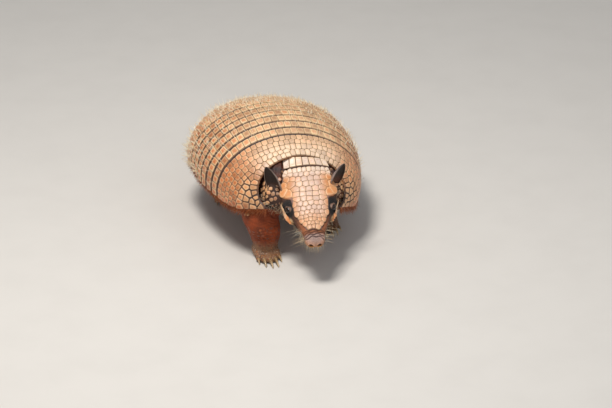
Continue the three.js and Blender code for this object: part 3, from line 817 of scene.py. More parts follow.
def plateBed(name, front, back, rows, darkCorners, atGroove):
    maker = MeshMaker()
    across = np.linspace(-1, 1, bed["columns"])
    share = (1 - np.cos(np.linspace(0, math.pi, rows))) / 2
    ahead = mixed(front(across)[None], back(across)[None], share[:, None])
    gaps = front(across)[None] - ahead, ahead - back(across)[None]
    reach = np.minimum(*gaps)
    rim = step(*bed["rim"], np.abs(across))[None]
    edge = bed["edgeDepth"] * (1 - step(0.0, bed["edgeWidth"], reach))
    sink = bed["depth"] + edge + bed["rimDepth"] * (1 - rim)
    outer = shellAt(across[None], ahead, -sink)
    inner = shellAt(across[None], ahead, -shell["thickness"] * np.ones_like(ahead))
    t = shellTones
    toGroove = np.minimum(*(gap if dark else bed["far"] for gap, dark in zip(gaps, atGroove)))
    groove = (1 - step(*bed["groove"], toGroove))[..., None]
    plain = t["seam"] + (t["lip"] - t["seam"]) * (1 - step(*bed["lip"], reach))[..., None]
    corner = (frontCorner(across, ahead) * darkCorners)[..., None] * bed["corner"]
    closedSheet(maker, outer, inner, mixed(mixed(plain, t["groove"], corner), t["groove"], groove))
    return maker.make(f"{name}_bed", seamSkin, [name if "band" in name else f"{name}_shield"])


def closedSheet(maker, outer, inner, tone):
    # two grids of points joined round their border
    rows, columns = outer.shape[:2]
    faces = gridFaces(rows, columns)
    below = faces[:, ::-1] + rows * columns
    border = np.concatenate([np.arange(columns), np.arange(1, rows) * columns + columns - 1,
                             (rows - 1) * columns + np.arange(columns - 2, -1, -1),
                             np.arange(rows - 2, 0, -1) * columns])
    after = np.roll(border, -1)
    wall = np.stack([after, border, border + rows * columns, after + rows * columns], 1)
    turned = np.cross(outer[0, 1] - outer[0, 0], outer[1, 0] - outer[0, 0]) @ (outer[0, 0] - inner[0, 0]) < 0
    groups = [faces, below, wall]
    if turned:
        groups = [group[:, ::-1] for group in groups]
    maker.add(np.concatenate([outer.reshape(-1, 3), inner.reshape(-1, 3)]), groups,
              tone=np.concatenate([tone.reshape(-1, 3)] * 2), inner=0.0, tint=0.5)


def shellPlates():
    draw = np.random.default_rng(21)
    count = shell["bandCount"]
    plates = [("scapular", scapularCells(draw), shieldLook, scapularFront, grooveLine(0), 15)]
    for i in range(count):
        plates.append((f"band_{i + 1}", bandCells(i, draw), bandLook, grooveLine(i), grooveLine(i + 1), 9))
    plates.append(("pelvic", pelvicCells(draw), pelvicLook, grooveLine(count), rumpLine, 25))
    clear = bed["clear"]  # plates almost meet in the grooves
    for name, cells, look, front, back, rows in plates:
        maker = MeshMaker()
        addScutes(maker, cells, shellAt, look, shellTone, unwrapBetween(front, back), draw)
        maker.make(f"{name}_scutes", horn)
        plateBed(name, lambda a, f=front: f(a) - clear, lambda a, b=back: b(a) + clear, rows,
                 name == "scapular", (name != "scapular", name != "pelvic"))
        print(name, "plate,", len(cells), "scutes")


shellPlates()


# The head's shield and the nuchal band behind it
headSizes = dict(
    # rows of scutes from the nape to the nose: distance along, width of one, stagger
    rows=[(4.6, 6.3, 0.5), (11.6, 6.9, 0.0), (18.6, 7.6, 0.5), (26.6, 8.4, 0.0), (34.8, 8.8, 0.5),
          (42.6, 8.2, 0.0), (50.0, 7.6, 0.5), (57.0, 7.2, 0.0), (63.6, 6.8, 0.5), (70.0, 6.4, 0.0),
          (76.0, 6.0, 0.5), (81.6, 5.6, 0.0), (86.8, 5.2, 0.5), (91.6, 4.8, 0.0)],
    rowOneEnd=10, rowOneJitter=0.12, jitter=0.55, bow=0.006, bowEnd=60, endRoom=0.4,
    lobe=[(31.5, 21.5), (32.5, 32.5)], lobeWidth=24.5, lobeSpan=(22, 42), lobeJitter=0.6,
    start=0.2, end=96, edgeRoom=1.3, ghostReach=9, ghostEvery=4, ghostRoom=2.0, seam=0.08, reach=10,
)
nuchal = dict(back=-16.5, front=-1.2, lift=0.6, slope=0.2, twist=0.01, halfWidth=28.5, count=7, jitter=0.25,
              endRoom=4.2, seam=0.3, reach=14)
headTones = dict(
    middle=rgb(224, 192, 174), side=rgb(218, 146, 90), nape=rgb(236, 212, 194), snout=rgb(212, 152, 106),
    sideFrom=(10, 26), napeFrom=(16, 6), snoutFrom=(62, 84), snoutShare=0.8, least=0.86, vary=0.26,
    bed=rgb(140, 106, 94), lobe=rgb(196, 130, 84), nuchalBed=rgb(116, 84, 72),
)
# the bed's depth in the middle, over the lobes and at its rounded edge
headBed = dict(rows=90, columns=41, depth=0.42, lobeRise=0.3, edgeDepth=1.7, edgeWidth=1.6, lobeOut=(21, 27),
               lobeBack=(22, 28), lobeFront=(47, 41), nuchalRows=13, nuchalDepth=0.7, nuchalEdge=1.2)
headLook = dict(profile=plainDome, corner=1.4, fullSize=3.4, uneven=0.1, slope=0.0, cream=0.3,
                edge=(0.4, 0.1), edgeSpan=(20, 25))
napeLook = dict(headLook, corner=0.8, slope=0.1, cream=0.4, edge=(0.5, 0.5))


def shieldOutline(count=200):
    start, end = headSizes["start"], headSizes["end"]
    along = np.linspace(start, end, count)
    half = shieldHalfWidth(along)
    nose = np.stack([np.linspace(-half[-1], half[-1], 12), np.full(12, float(end))], 1)
    nape = np.stack([np.linspace(-half[0], half[0], 24), np.full(24, start)], 1)
    return np.concatenate([np.stack([half, along], 1), np.stack([-half, along], 1), nose, nape])


def headTone(parameters, points, tint):
    out, along = np.abs(parameters[:, 0]), parameters[:, 1]
    t = headTones
    tone = mixed(t["middle"], t["side"], step(*t["sideFrom"], out)[:, None])
    tone = mixed(tone, t["nape"], step(*t["napeFrom"], along)[:, None])
    tone = mixed(tone, t["snout"], step(*t["snoutFrom"], along)[:, None] * t["snoutShare"])
    return np.clip(tone * (t["least"] + t["vary"] * tint[:, None]), 0, 1)


def headSeeds(draw):
    sizes = headSizes
    seeds = []
    for along, width, stagger in sizes["rows"]:
        first = along < sizes["rowOneEnd"]
        half = shieldHalfWidth(along)
        if sizes["lobeSpan"][0] < along < sizes["lobeSpan"][1]:
            half = min(half, sizes["lobeWidth"])
        count = max(round(2 * half / width), 2)
        spots = (np.arange(count) + 0.5) / count * 2 - 1
        if stagger and not first:
            spots = np.linspace(-1, 1, count + 1)
            spots = spots[np.abs(spots) < 1 - sizes["endRoom"] / count]
        row = np.stack([spots * half, np.full(len(spots), along)], 1)
        row[:, 1] -= sizes["bow"] * row[:, 0] ** 2 * (not first) * (along < sizes["bowEnd"])
        seeds.append(row + draw.normal(size=row.shape) * sizes["rowOneJitter" if first else "jitter"])
    for out, along in sizes["lobe"]:
        seeds.append(np.array([[out, along], [-out, along]]) + draw.normal(size=(2, 2)) * sizes["lobeJitter"])
    return np.concatenate(seeds)


def headCells(draw):
    sizes = headSizes
    seeds = headSeeds(draw)
    gap = shieldOutline()[None] - seeds[:, None]
    distance = np.linalg.norm(gap, axis=2)
    room = sizes["edgeRoom"]
    inside = (np.abs(seeds[:, 0]) < shieldHalfWidth(seeds[:, 1]) - room) & (distance.min(1) > room)
    seeds, gap, distance = seeds[inside], gap[inside], distance[inside]
    ghosts = []
    for seed, gaps, distances in zip(seeds, gap, distance):
        # a ghost across each near stretch of the outline
        for k in np.flatnonzero(distances < sizes["ghostReach"])[::sizes["ghostEvery"]]:
            ghosts.append(seed + 2 * gaps[k])
    ghosts = np.array(ghosts)
    clear = np.array([np.linalg.norm(seeds - ghost, axis=1).min() > sizes["ghostRoom"] for ghost in ghosts])
    outside = (np.abs(ghosts[:, 0]) > shieldHalfWidth(ghosts[:, 1]))
    outside |= (ghosts[:, 1] < sizes["start"]) | (ghosts[:, 1] > sizes["end"])
    return cellsOf(seeds, ghosts[clear & outside], roofAt, sizes["reach"], sizes["seam"])


def unwrapHead(parameters):
    out, along = parameters.T
    return np.stack([0.5 + out / 84, 0.03 + along / 104], 1)


def unwrapNuchal(parameters):
    return 0.5 + (parameters - [0, -7]) / 64


def napeRise(along, out):
    # how far the nuchal band stands over the head's roof
    return nuchal["lift"] + (nuchal["front"] - along) * (nuchal["slope"] - nuchal["twist"] * out)


def napeAt(out, along, height):
    return roofAt(out, along, height) + napeRise(along, out)[..., None] * headTurning[:, 2]


def nuchalCells(draw):
    back, front, count = nuchal["back"], nuchal["front"], nuchal["count"]
    spots = ((np.arange(count) + 0.5) / count * 2 - 1) * nuchal["halfWidth"]
    middle = (back + front) / 2
    seeds = np.stack([spots, np.full(count, middle)], 1) + draw.normal(size=(count, 2)) * nuchal["jitter"]
    half = nuchal["halfWidth"] + nuchal["endRoom"]
    ghosts = [[half, middle], [-half, middle]]
    ghosts += [[x, 2 * edge - y] for x, y in seeds for edge in (back, front)]
    return cellsOf(seeds, ghosts, napeAt, nuchal["reach"], nuchal["seam"])


def addHeadBed(name, at, out, along, sink, tone, node):
    maker = MeshMaker()
    inner = at(out, along, -head["shieldThickness"] * np.ones_like(out))
    closedSheet(maker, at(out, along, -sink), inner, tone + 0 * out[..., None])
    maker.make(name, seamSkin, [node])


def headPlates():
    draw = np.random.default_rng(5)
    b, t = headBed, headTones
    maker = MeshMaker()
    addScutes(maker, headCells(draw), roofAt, headLook, headTone, unwrapHead, draw)
    maker.make("head_scutes", horn)
    start, end = headSizes["start"], headSizes["end"]
    along = np.linspace(start, end, b["rows"])[:, None]
    spots = np.linspace(-1, 1, b["columns"])[None]
    out = spots * shieldHalfWidth(along)
    rim = np.minimum((1 - np.abs(spots)) * shieldHalfWidth(along), np.minimum(along, end + start - along))
    lobe = step(*b["lobeOut"], np.abs(out)) * step(*b["lobeBack"], along) * step(*b["lobeFront"], along)
    edge = b["edgeDepth"] * (1 - step(0.0, b["edgeWidth"], rim))
    addHeadBed("head_bed", roofAt, out, along, b["depth"] - b["lobeRise"] * lobe + edge,
               mixed(t["bed"], t["lobe"], lobe[..., None]), "head_shield")

    maker = MeshMaker()
    addScutes(maker, nuchalCells(draw), napeAt, napeLook, headTone, unwrapNuchal, draw)
    maker.make("nuchal_scutes", horn)
    along = np.linspace(nuchal["back"], nuchal["front"], b["nuchalRows"])[:, None]
    out = spots * nuchal["halfWidth"] + 0 * along
    rim = np.minimum(along - nuchal["back"], nuchal["front"] - along) + 0 * out
    edge = b["nuchalEdge"] * (1 - step(0.0, b["edgeWidth"], rim))
    addHeadBed("nuchal_bed", napeAt, out, along, b["nuchalDepth"] + edge, t["nuchalBed"], "nuchal_band")
    print("head plates made")


headPlates()


# The flesh: closed rounds of each part, joined into one skin
trunkTaper = through([(-206, 0.1), (-194, 0), (44, 0), (56, 0.03), (65, 0.09), (72, 0.2), (77, 0.42)])
skullTaper = through([(-9, 0.35), (-5, 0.12), (0, 0.03), (8, 0), (104, 0), (109, 0.03), (112.5, 0.2),
                      (114, 0.5)])
flesh = dict(
    inset=0.3, voxel=1.5, shellInset=4.4, flankTuck=8, roofInset=1.9, roofArc=0.86, plateDepth=2.3,
    polish=10, bellyPoints=42,
)
trunkRows = [(-206, -194, 8), (-190, 44, 60), (47, 77, 20)]
skullRows = [(-9, 104, 80), (105, 114, 14)]
# toes: place across the foot, reach ahead, radius, claw's length
foreToes = [(-0.86, 20, 3.6, 9), (-0.42, 26, 4.4, 17), (0.04, 27.5, 4.6, 17), (0.5, 25, 4.4, 14),
            (0.9, 20, 3.6, 9)]
hindToes = [(-0.86, 25, 3.6, 7), (-0.44, 31, 4, 10), (0, 33, 4.2, 11), (0.44, 31, 4, 10), (0.86, 25, 3.6, 7)]
# the tail's middle line: ahead, side, up and radius
tailStations = [
    (-195, 0, 68, 17), (-212, 1, 60, 16.5), (-230, 3, 51, 15), (-249, 7, 41.5, 13.6), (-268, 12, 32.5, 12.2),
    (-287, 18, 24, 10.8), (-306, 25, 16.5, 9.5), (-324, 32.5, 10.8, 8.1), (-342, 41, 7.2, 6.7),
    (-358, 49.5, 5, 5.1), (-370, 57, 3.3, 3.4), (-377, 62, 1.9, 1.9),
]

# how many rings and points to a ring each round has
rounds = dict(trunk=60, skull=41, neck=(16, 64), sole=(22, 48), toe=(18, 24), limb=(36, 56), tail=(90, 48))
feet = dict(
    sole=[(-0.5, 0.5, 0.5), (-0.4, 0.85, 0.85), (-0.1, 1, 1), (0.36, 0.96, 0.8), (0.5, 0.7, 0.5)],
    toeGirth=through([(0, 0.9), (0.35, 0.98), (0.62, 1.12), (0.8, 1.0), (0.95, 0.86), (1.04, 0.5)]),
)


def bodyPoint(ahead, side, up):
    return np.stack(sameShape(side, -np.asarray(ahead), up), -1) + origin


def foreLeg(ahead, out):
    # rings from the shoulder down: ahead, out, up, half length, half width
    return dict(foot=dict(ahead=ahead, out=out, length=36, width=17, height=9, toes=foreToes), rings=[
        (20, 40, 94, 19, 18), ((24 + ahead) / 2, 50, 76, 25, 24),
        ((20 + 2 * ahead) / 3 + 3, out + 6, 56, 25, 24.5), (ahead, out + 2, 38, 21.5, 22),
        (ahead, out, 24, 18, 19), (ahead, out, 9, 15.5, 15)])


def hindLeg(ahead, out):
    return dict(foot=dict(ahead=ahead + 6, out=out, length=46, width=15, height=8.5, toes=hindToes), rings=[
        (-130, 50, 88, 34, 24), ((ahead - 132) / 2, 54, 68, 35, 25), (ahead + 2, out + 2, 48, 29, 23),
        (ahead - 4, out, 32, 21, 18), (ahead - 8, out, 20, 16, 15), (ahead - 8, out, 8.5, 14.5, 12.5)])


legs = {
    "foreleg_right": dict(foreLeg(43, 44), side=-1), "foreleg_left": dict(foreLeg(-20, 52), side=1),
    "hindleg_right": dict(hindLeg(-146, 58), side=-1), "hindleg_left": dict(hindLeg(-112, 60), side=1),
}
neckLine = dict(start=leaning(38, 0, 94), end=headPoint(2, 0, -25), width=(42, 17), height=(31, 8))


def lowerHalf(wide, drop, squareness):
    # points round under a part, from one side to the other, about the middle of its top line
    angle = np.linspace(0, math.pi, flesh["bellyPoints"])[1:-1]
    cos, sin = np.cos(angle), np.sin(angle)
    return wide(sin) * np.sign(cos) * np.abs(cos) ** squareness[0], drop * sin ** squareness[1]


def tapered(ring, centre, shrink):
    return ring[:, 0] * (1 - shrink), ring[:, 1] + (centre - ring[:, 1]) * shrink


def trunkRing(ahead):
    across = np.linspace(-1, 1, rounds["trunk"])
    back = np.stack(shellSection(ahead, across, -flesh["shellInset"] - flesh["inset"]), 1)
    rimSide, rimUp = back[-1]
    halfBelly = max(rimSide - flesh["flankTuck"], 6) - flesh["inset"]
    drop = rimUp - bellyHeight(ahead) - flesh["inset"]
    side, down = lowerHalf(lambda sin: halfBelly, drop, (0.8, 0.7))
    ring = np.concatenate([back, np.stack([side, rimUp - down], 1)])
    centre = (crownHeight(ahead) + bellyHeight(ahead)) / 2
    return leaning(ahead + 0 * ring[:, 0], *tapered(ring, centre, trunkTaper(ahead)))


def skullRing(along):
    wide = skullHalfWidth(along) - flesh["inset"]
    arc = flesh["roofArc"]
    out = wide * np.sin(np.linspace(-arc, arc, rounds["skull"]) * math.pi / 2)
    roof = np.stack([out, roofHeight(along, out) - flesh["roofInset"]], 1)
    edgeOut, edgeUp = roof[-1]
    bottom = skullBottom(along) + flesh["inset"]
    cheek = lambda sin: wide * (0.98 + 0.06 * sin) - (wide - edgeOut) * (1 - sin)
    side, down = lowerHalf(cheek, bottom - edgeUp, (0.75, 0.9))
    ring = np.concatenate([roof, np.stack([side, edgeUp + down], 1)])
    middle = (roofHeight(along, 0) + bottom) / 2
    return headPoint(along, *tapered(ring, middle, skullTaper(along)))


def neckRings():
    rings = []
    count, sides = rounds["neck"]
    for k in np.linspace(0, 1, count):
        lean = head["turn"] * k / 1.2
        wide, high = (neckLine[key][0] - neckLine[key][1] * k - flesh["inset"] for key in ("width", "height"))
        across = np.array([math.cos(lean), -math.sin(lean), 0]) * wide
        upright = unit(np.array([0, -0.35 * k, 1])) * high
        rings.append(ellipse(mixed(neckLine["start"], neckLine["end"], k), across, upright, sides))
    return rings


def toeAt(foot, toe, side, k):
    place, reach, radius, _ = toe
    start = foot["length"] * 0.28
    out = foot["out"] + foot["width"] * place * (0.72 + 0.22 * k)
    return bodyPoint(foot["ahead"] + start + (reach - start) * k, side * out,
                     radius * (0.95 + 0.25 * math.sin(math.pi * k)))


def upEllipse(centre, wide, high, sides, squareness=1.0):
    # an ellipse standing square to the animal's length
    return ellipse(centre, np.array([wide, 0, 0]), np.array([0, 0, high]), sides, squareness)


def footRounds(leg):
    foot, side, inset = leg["foot"], leg["side"], flesh["inset"]
    count, sides = rounds["sole"]
    sole = []
    for k, wide, high in smoothed(feet["sole"], count):
        up = foot["height"] * high
        centre = bodyPoint(foot["ahead"] + foot["length"] * k, side * foot["out"], up * 0.8)
        sole.append(upEllipse(centre, foot["width"] * wide - inset, up - inset, sides, 1.25))
    made = [sole]
    count, sides = rounds["toe"]
    for toe in foot["toes"]:
        rings = []
        for k in np.linspace(0, 1.04, count):
            radius = toe[2] * feet["toeGirth"](k) - inset
            rings.append(upEllipse(toeAt(foot, toe, side, k), radius, radius, sides))
        made.append(rings)
    return made


def limbRound(leg):
    rings = []
    count, sides = rounds["limb"]
    for ahead, out, up, long, wide in smoothed(leg["rings"], count):
        rings.append(ellipse(bodyPoint(ahead, leg["side"] * out, up), np.array([wide - flesh["inset"], 0, 0]),
                             np.array([0, long - flesh["inset"], 0]), sides))
    return rings


tailCourse = smoothed([(*bodyPoint(ahead, side, up), radius) for ahead, side, up, radius in tailStations],
                      rounds["tail"][0])


def tailFrames():
    points, radius = tailCourse[:, :3], tailCourse[:, 3]
    course = unit(np.gradient(points, axis=0))
    across = unit(np.cross(course, [0, 0, 1]))
    return points, radius, across, np.cross(across, course)


def tailRound():
    rings = []
    for point, radius, across, upright in zip(*tailFrames()):
        size = max(radius - (flesh["inset"] + 0.6), 0.5)
        rings.append(ellipse(point, across * size, upright * size, rounds["tail"][1]))
    return rings


def fleshRounds():
    trunk, skull = (np.concatenate([np.linspace(*row) for row in rows]) for rows in (trunkRows, skullRows))
    made = [[trunkRing(ahead) for ahead in trunk], [skullRing(along) for along in skull], neckRings(),
            tailRound()]
    for leg in legs.values():
        made.append(limbRound(leg))
        made += footRounds(leg)
    return made


def joinedSkin():
    maker = MeshMaker()
    for rings in fleshRounds():
        maker.add(*tubeMesh(rings))
    rough = bpy.data.objects.new("rounds", maker.mesh("rounds"))
    bpy.context.scene.collection.objects.link(rough)
    blend = rough.modifiers.new("join", "REMESH")
    blend.mode = "VOXEL"
    blend.voxel_size = flesh["voxel"] * mm
    joined = bpy.data.meshes.new_from_object(rough.evaluated_get(bpy.context.evaluated_depsgraph_get()))
    bpy.data.objects.remove(rough)
    return joined


class Surface:
    # the skin's points as arrays, with its neighbours for smoothing
    def __init__(self, mesh):
        self.mesh = mesh
        self.read()

    def read(self):
        count = len(self.mesh.vertices)
        flat = np.empty(count * 3, np.float32)
        self.mesh.vertices.foreach_get("co", flat)
        self.points = flat.reshape(-1, 3).astype(float) / mm
        edges = np.empty(len(self.mesh.edges) * 2, np.int32)
        self.mesh.edges.foreach_get("vertices", edges)
        self.edges = edges.reshape(-1, 2)
        self.degree = np.maximum(np.bincount(edges, minlength=count), 1)

    def write(self):
        self.mesh.vertices.foreach_set("co", (self.points * mm).astype(np.float32).ravel())
        self.mesh.update()

    def normals(self):
        self.write()
        flat = np.empty(len(self.points) * 3, np.float32)
        self.mesh.vertices.foreach_get("normal", flat)
        return flat.reshape(-1, 3).astype(float)

    def average(self, values):
        # the mean of each point's neighbours
        a, b = self.edges.T
        columns = [np.bincount(a, column[b], len(column)) + np.bincount(b, column[a], len(column))
                   for column in values.T]
        return np.stack(columns, 1) / self.degree[:, None]

    def smooth(self, rounds, share=0.5, mask=None, hold=True):
        # hold gives back the size that plain smoothing takes
        giveBack = 1.04
        for _ in range(rounds):
            for amount in ((share, -share * giveBack) if hold else (share,)):
                move = (self.average(self.points) - self.points) * amount
                self.points += move if mask is None else move * mask[:, None]

    def refine(self, chosen):
        # halves every edge between chosen points
        self.write()
        work = bmesh.new()
        work.from_mesh(self.mesh)
        work.verts.ensure_lookup_table()
        edges = [edge for edge in work.edges if chosen[edge.verts[0].index] and chosen[edge.verts[1].index]]
        bmesh.ops.subdivide_edges(work, edges=edges, cuts=1, use_grid_fill=True)
        work.to_mesh(self.mesh)
        work.free()
        self.read()


# The head's own skin, in head measures: sockets, lids, ridges, mouth and nose
face = dict(
    # the eye's opening: half its length and height; the bowl round it: its floor over the eye's middle
    opening=(4.4, 3.7), lidOver=0.35, lidRoll=0.3, socket=10.5, bowl=1.9, facing=(0.42, 0.72, 0.56),
    upright=(0.1, -0.25, 1), ridgeEdge=(2.52, 6.44), ridgeRise=3.3,
    ridge=[(47, 36.9, -17.4), (54, 35.4, -19.4), (62, 31.0, -20.6), (70, 26.2, -20.4)],
    mouthHeight=-17.0, jawBack=52.0, mouthSlope=math.radians(7), mouthDepth=1.3, mouthWidth=1.0,
    lipDrop=2.6, lipWidth=1.8, lipRise=0.7,
    nostril=(5.2, -13.4), nostrilRadius=(2.7, 2.1), nostrilDepth=2.8, rimRise=0.6, noseStart=101.0,
    creases=[97.6, 100.2, 102.9, 105.6], creaseDepth=0.95, creaseWidth=0.6,
)
skinTones = dict(
    # cheek: the head's skin, darkened as painted shade under the shield
    # lid: a painted highlight on the upper lid
    # socket: painted shade round the eye
    cheek=rgb(64, 38, 26), socket=rgb(18, 11, 9), lid=rgb(146, 114, 96), ridge=rgb(248, 204, 150),
    # nostril: painted shade in the nostrils' holes
    snout=rgb(150, 90, 54), nose=rgb(184, 132, 98), nostril=rgb(30, 19, 17), lip=rgb(232, 162, 84),
    # earIn: painted shade in the ear's hollow
    # mouth: painted shade in the mouth's line and the nose's creases
    mouth=rgb(60, 34, 28), neck=rgb(58, 50, 50), earIn=rgb(34, 18, 12), earOut=rgb(96, 82, 80),
    earLit=rgb(196, 176, 166), pad=rgb(182, 152, 142), earRoot=rgb(128, 66, 34),
    # leg: the legs' own orange-brown, darkened further as painted shade
    earRim=rgb(160, 138, 120), belly=rgb(124, 76, 48), flank=rgb(148, 68, 24), leg=rgb(146, 60, 10),
    paw=rgb(140, 104, 76), sole=rgb(92, 74, 64), tail=rgb(196, 134, 82), throat=rgb(124, 70, 42),
)


def eyeFrame(side):
    # the eye's middle, and the directions along the lids, up and outwards
    mirror = np.array([1, side, 1])
    middle = np.array([eye["along"], eye["out"], eye["up"]]) * mirror
    outwards = unit(face["facing"] * mirror)
    lengthwise = unit(np.cross(face["upright"] * mirror, outwards)) * side
    return middle, lengthwise, np.cross(outwards, lengthwise) * side, outwards


def onHead(points):
    return np.stack(headPlace(points), 1)


def shapeEyes(place):
    # moves points, given as along, out and up, and tells how much of the socket and lid each has; the socket
    # is darkened as painted shade, the lid's upper arc lightened as a painted highlight
    socket, lid = np.zeros(len(place)), np.zeros(len(place))
    for side in (-1, 1):
        middle, lengthwise, upwards, outwards = eyeFrame(side)
        offset = place - middle
        x, y, z = offset @ lengthwise, offset @ upwards, offset @ outwards
        near = (place[:, 1] * side > 12) & (np.linalg.norm(offset, axis=1) < 22)
        reach = np.hypot(x, y)
        # a shallow bowl round the eye, then the lids over the ball, then the opening between them
        bowl = face["bowl"] + 0.16 * np.maximum(reach - 5, 0) + 0.1 * np.maximum(reach - 9, 0) ** 2
        floor = blendedLow(z, bowl, 1.2)
        longHalf, highHalf = face["opening"]
        slit = highHalf * np.maximum(1 - (x / longHalf) ** 2, 0) ** 0.7
        beyond = np.where(np.abs(x) < longHalf, np.abs(y) - slit, np.hypot(np.abs(x) - longHalf, y))
        outer = eye["radius"] + face["lidOver"]
        ball = np.where(reach < outer, np.sqrt(np.maximum(outer ** 2 - reach ** 2, 0)), -20)
        roll = face["lidRoll"] * bell(beyond, 0.6, 0.5)
        fold = 0.45 * bell(beyond, 2.9, 0.5) + 0.3 * bell(beyond, 4.6, 0.6)
        lidded = -blendedLow(-floor, -(ball + roll), 0.9) - fold * (reach < 12)
        behind = np.sqrt(np.maximum((eye["radius"] - 1) ** 2 - reach ** 2, 0)) - 1.2
        lidded = mixed(lidded, behind, 1 - step(-0.5, 0.1, beyond))
        place += np.where(near & (z > -4), lidded - z, 0)[:, None] * outwards
        # near-black round the eye: painted shade in the socket
        dark = 1 - step(face["socket"] * 0.7, face["socket"] * 1.25, np.hypot((x - 1.5) / 1.2, y))
        socket = np.maximum(socket, near * dark)
        # the lid's upper side made pale: painted highlight
        upper = step(-1.0, 2.5, 0.5 * x + 0.85 * y)
        lid = np.maximum(lid, near * (1 - step(0.9, 2.6, beyond)) * upper)
    return socket, lid


def blendedLow(first, second, width):
    # the lower of two heights, with a rounded corner
    share = np.clip(0.5 + 0.5 * (second - first) / width, 0, 1)
    return second * (1 - share) + first * share - width * share * (1 - share)


def ridgeNear(place):
    # nearness of each point to the ridge under its eye
    course = np.array(face["ridge"], float)
    place = place.copy()
    place[:, 1] = np.abs(place[:, 1])
    best = np.full(len(place), np.inf)
    for a, b in zip(course[:-1], course[1:]):
        t = np.clip((place - a) @ (b - a) / ((b - a) @ (b - a)), 0, 1)
        best = np.minimum(best, np.linalg.norm(place - a - t[:, None] * (b - a), axis=1))
    return 1 - step(*face["ridgeEdge"], best)


def mouthGap(place):
    # height over the mouth's line
    return place[:, 2] - face["mouthHeight"] - (place[:, 0] - face["jawBack"]) * -math.tan(face["mouthSlope"])


def shapeHead(surface):
    normal = surface.normals() @ headTurning
    normal = np.stack([-normal[:, 1], normal[:, 0], normal[:, 2]], 1)
    place = onHead(surface.points)
    along, out, up = place.T
    isHead = step(4, 14, along) * step(-60, -54, up) * step(1.15, 1.3, legDistance(surface.points))
    ridge = ridgeNear(place) * isHead
    place += (ridge * face["ridgeRise"])[:, None] * normal
    socket, lid = shapeEyes(place)
    gap = mouthGap(place)
    front = step(face["jawBack"] + 2, face["jawBack"] + 14, along)
    mouth = bell(gap, 0, face["mouthWidth"]) * front
    lip = bell(gap, -face["lipDrop"], face["lipWidth"]) * front
    place += (lip * face["lipRise"] - mouth * face["mouthDepth"])[:, None] * normal
    crease = np.zeros(len(place))
    for line in face["creases"]:
        off = along + 0.7 * np.sin(out * 0.62 + line * 1.7) - line + 0.25 * (up + 6)
        crease = np.maximum(crease, bell(off, 0, face["creaseWidth"]) * (up > -15))
    place -= (crease * face["creaseDepth"])[:, None] * normal
    nostrils = np.zeros(len(place))
    (apart, level), (wide, high) = face["nostril"], face["nostrilRadius"]
    for side in (-1, 1):
        reach = np.sqrt(((out - side * apart) / wide) ** 2 + ((up - level) / high) ** 2)
        nostrils = np.maximum(nostrils, (along > 106) * (1 - step(0.6, 1.15, reach)))
        place[:, 0] += bell(reach, 1.35, 0.3) * (along > 104) * face["rimRise"]
    place[:, 0] -= nostrils * face["nostrilDepth"]
    surface.points = headPoint(*place.T)
    nose = step(face["noseStart"] - 1.5, face["noseStart"] + 2.5, along) * step(-21.5, -19, up)
    return dict(head=isHead, ridge=ridge, socket=socket, lid=lid, mouth=mouth, lip=lip, nose=nose,
                nostril=nostrils, crease=crease)


# Ears
ears = dict(
    wall=1.8, wrap=1.7, depth=0.55, hollow=0.86, side=33,
    rows=[*np.linspace(0, 0.9, 34), 0.93, 0.96, 0.985, 1.0, 1.012],
    outline=through([(0, 7.8), (0.25, 10.3), (0.5, 10), (0.75, 7.4), (0.92, 4.4), (1, 2)]),
    right=dict(base=(40, -27, -16), tip=(52, -10, 18), opening=(0.55, -0.75, 0.35)),
    left=dict(base=(35, -21, -15), tip=(46, -14.5, 19), opening=(0.6, -0.8, 0.1)),
)


def earArc(centre, across, opening, angle, radius, flat):
    wide, deep = radius * np.sin(angle), radius * np.cos(angle) * ears["depth"] * flat
    return centre + across * wide[:, None] - opening * deep[:, None]


def earRows(side, ear):
    # rows of an ear from base to tip: round the back, over one rim, down the hollow and over the other
    base, tip, opening = (np.array(ear[key], float) for key in ("base", "tip", "opening"))
    upwards = unit(tip - base)
    opening = unit(opening - (opening @ upwards) * upwards)
    across = np.cross(upwards, opening)
    rows = []
    for k in ears["rows"]:
        radius = ears["outline"](k) * (1 if k <= 1 else 0.45)
        wall = min(ears["wall"], radius / 2) - 0.5
        wrap = ears["wrap"] * (1 - 0.12 * k)
        angle = np.linspace(-wrap, wrap, ears["side"])
        ripple = 1 + 0.012 * np.sin(9 * angle + 5 * k)
        centre = base + (tip - base) * k
        outer = earArc(centre, across, opening, angle, radius * ripple, 1)
        inner = earArc(centre, across, opening, angle[::-1] * 0.985, radius - wall, ears["hollow"])
        rims = [[(outer[-1] + inner[0]) / 2 + (outer[-1] - outer[-2]) * 0.6],
                [(outer[0] + inner[-1]) / 2 + (outer[0] - outer[1]) * 0.6]]
        row = np.concatenate([outer, rims[0], inner, rims[1]])
        rows.append(headPoint(-row[:, 1], side * row[:, 0], row[:, 2]))
    return np.array(rows)


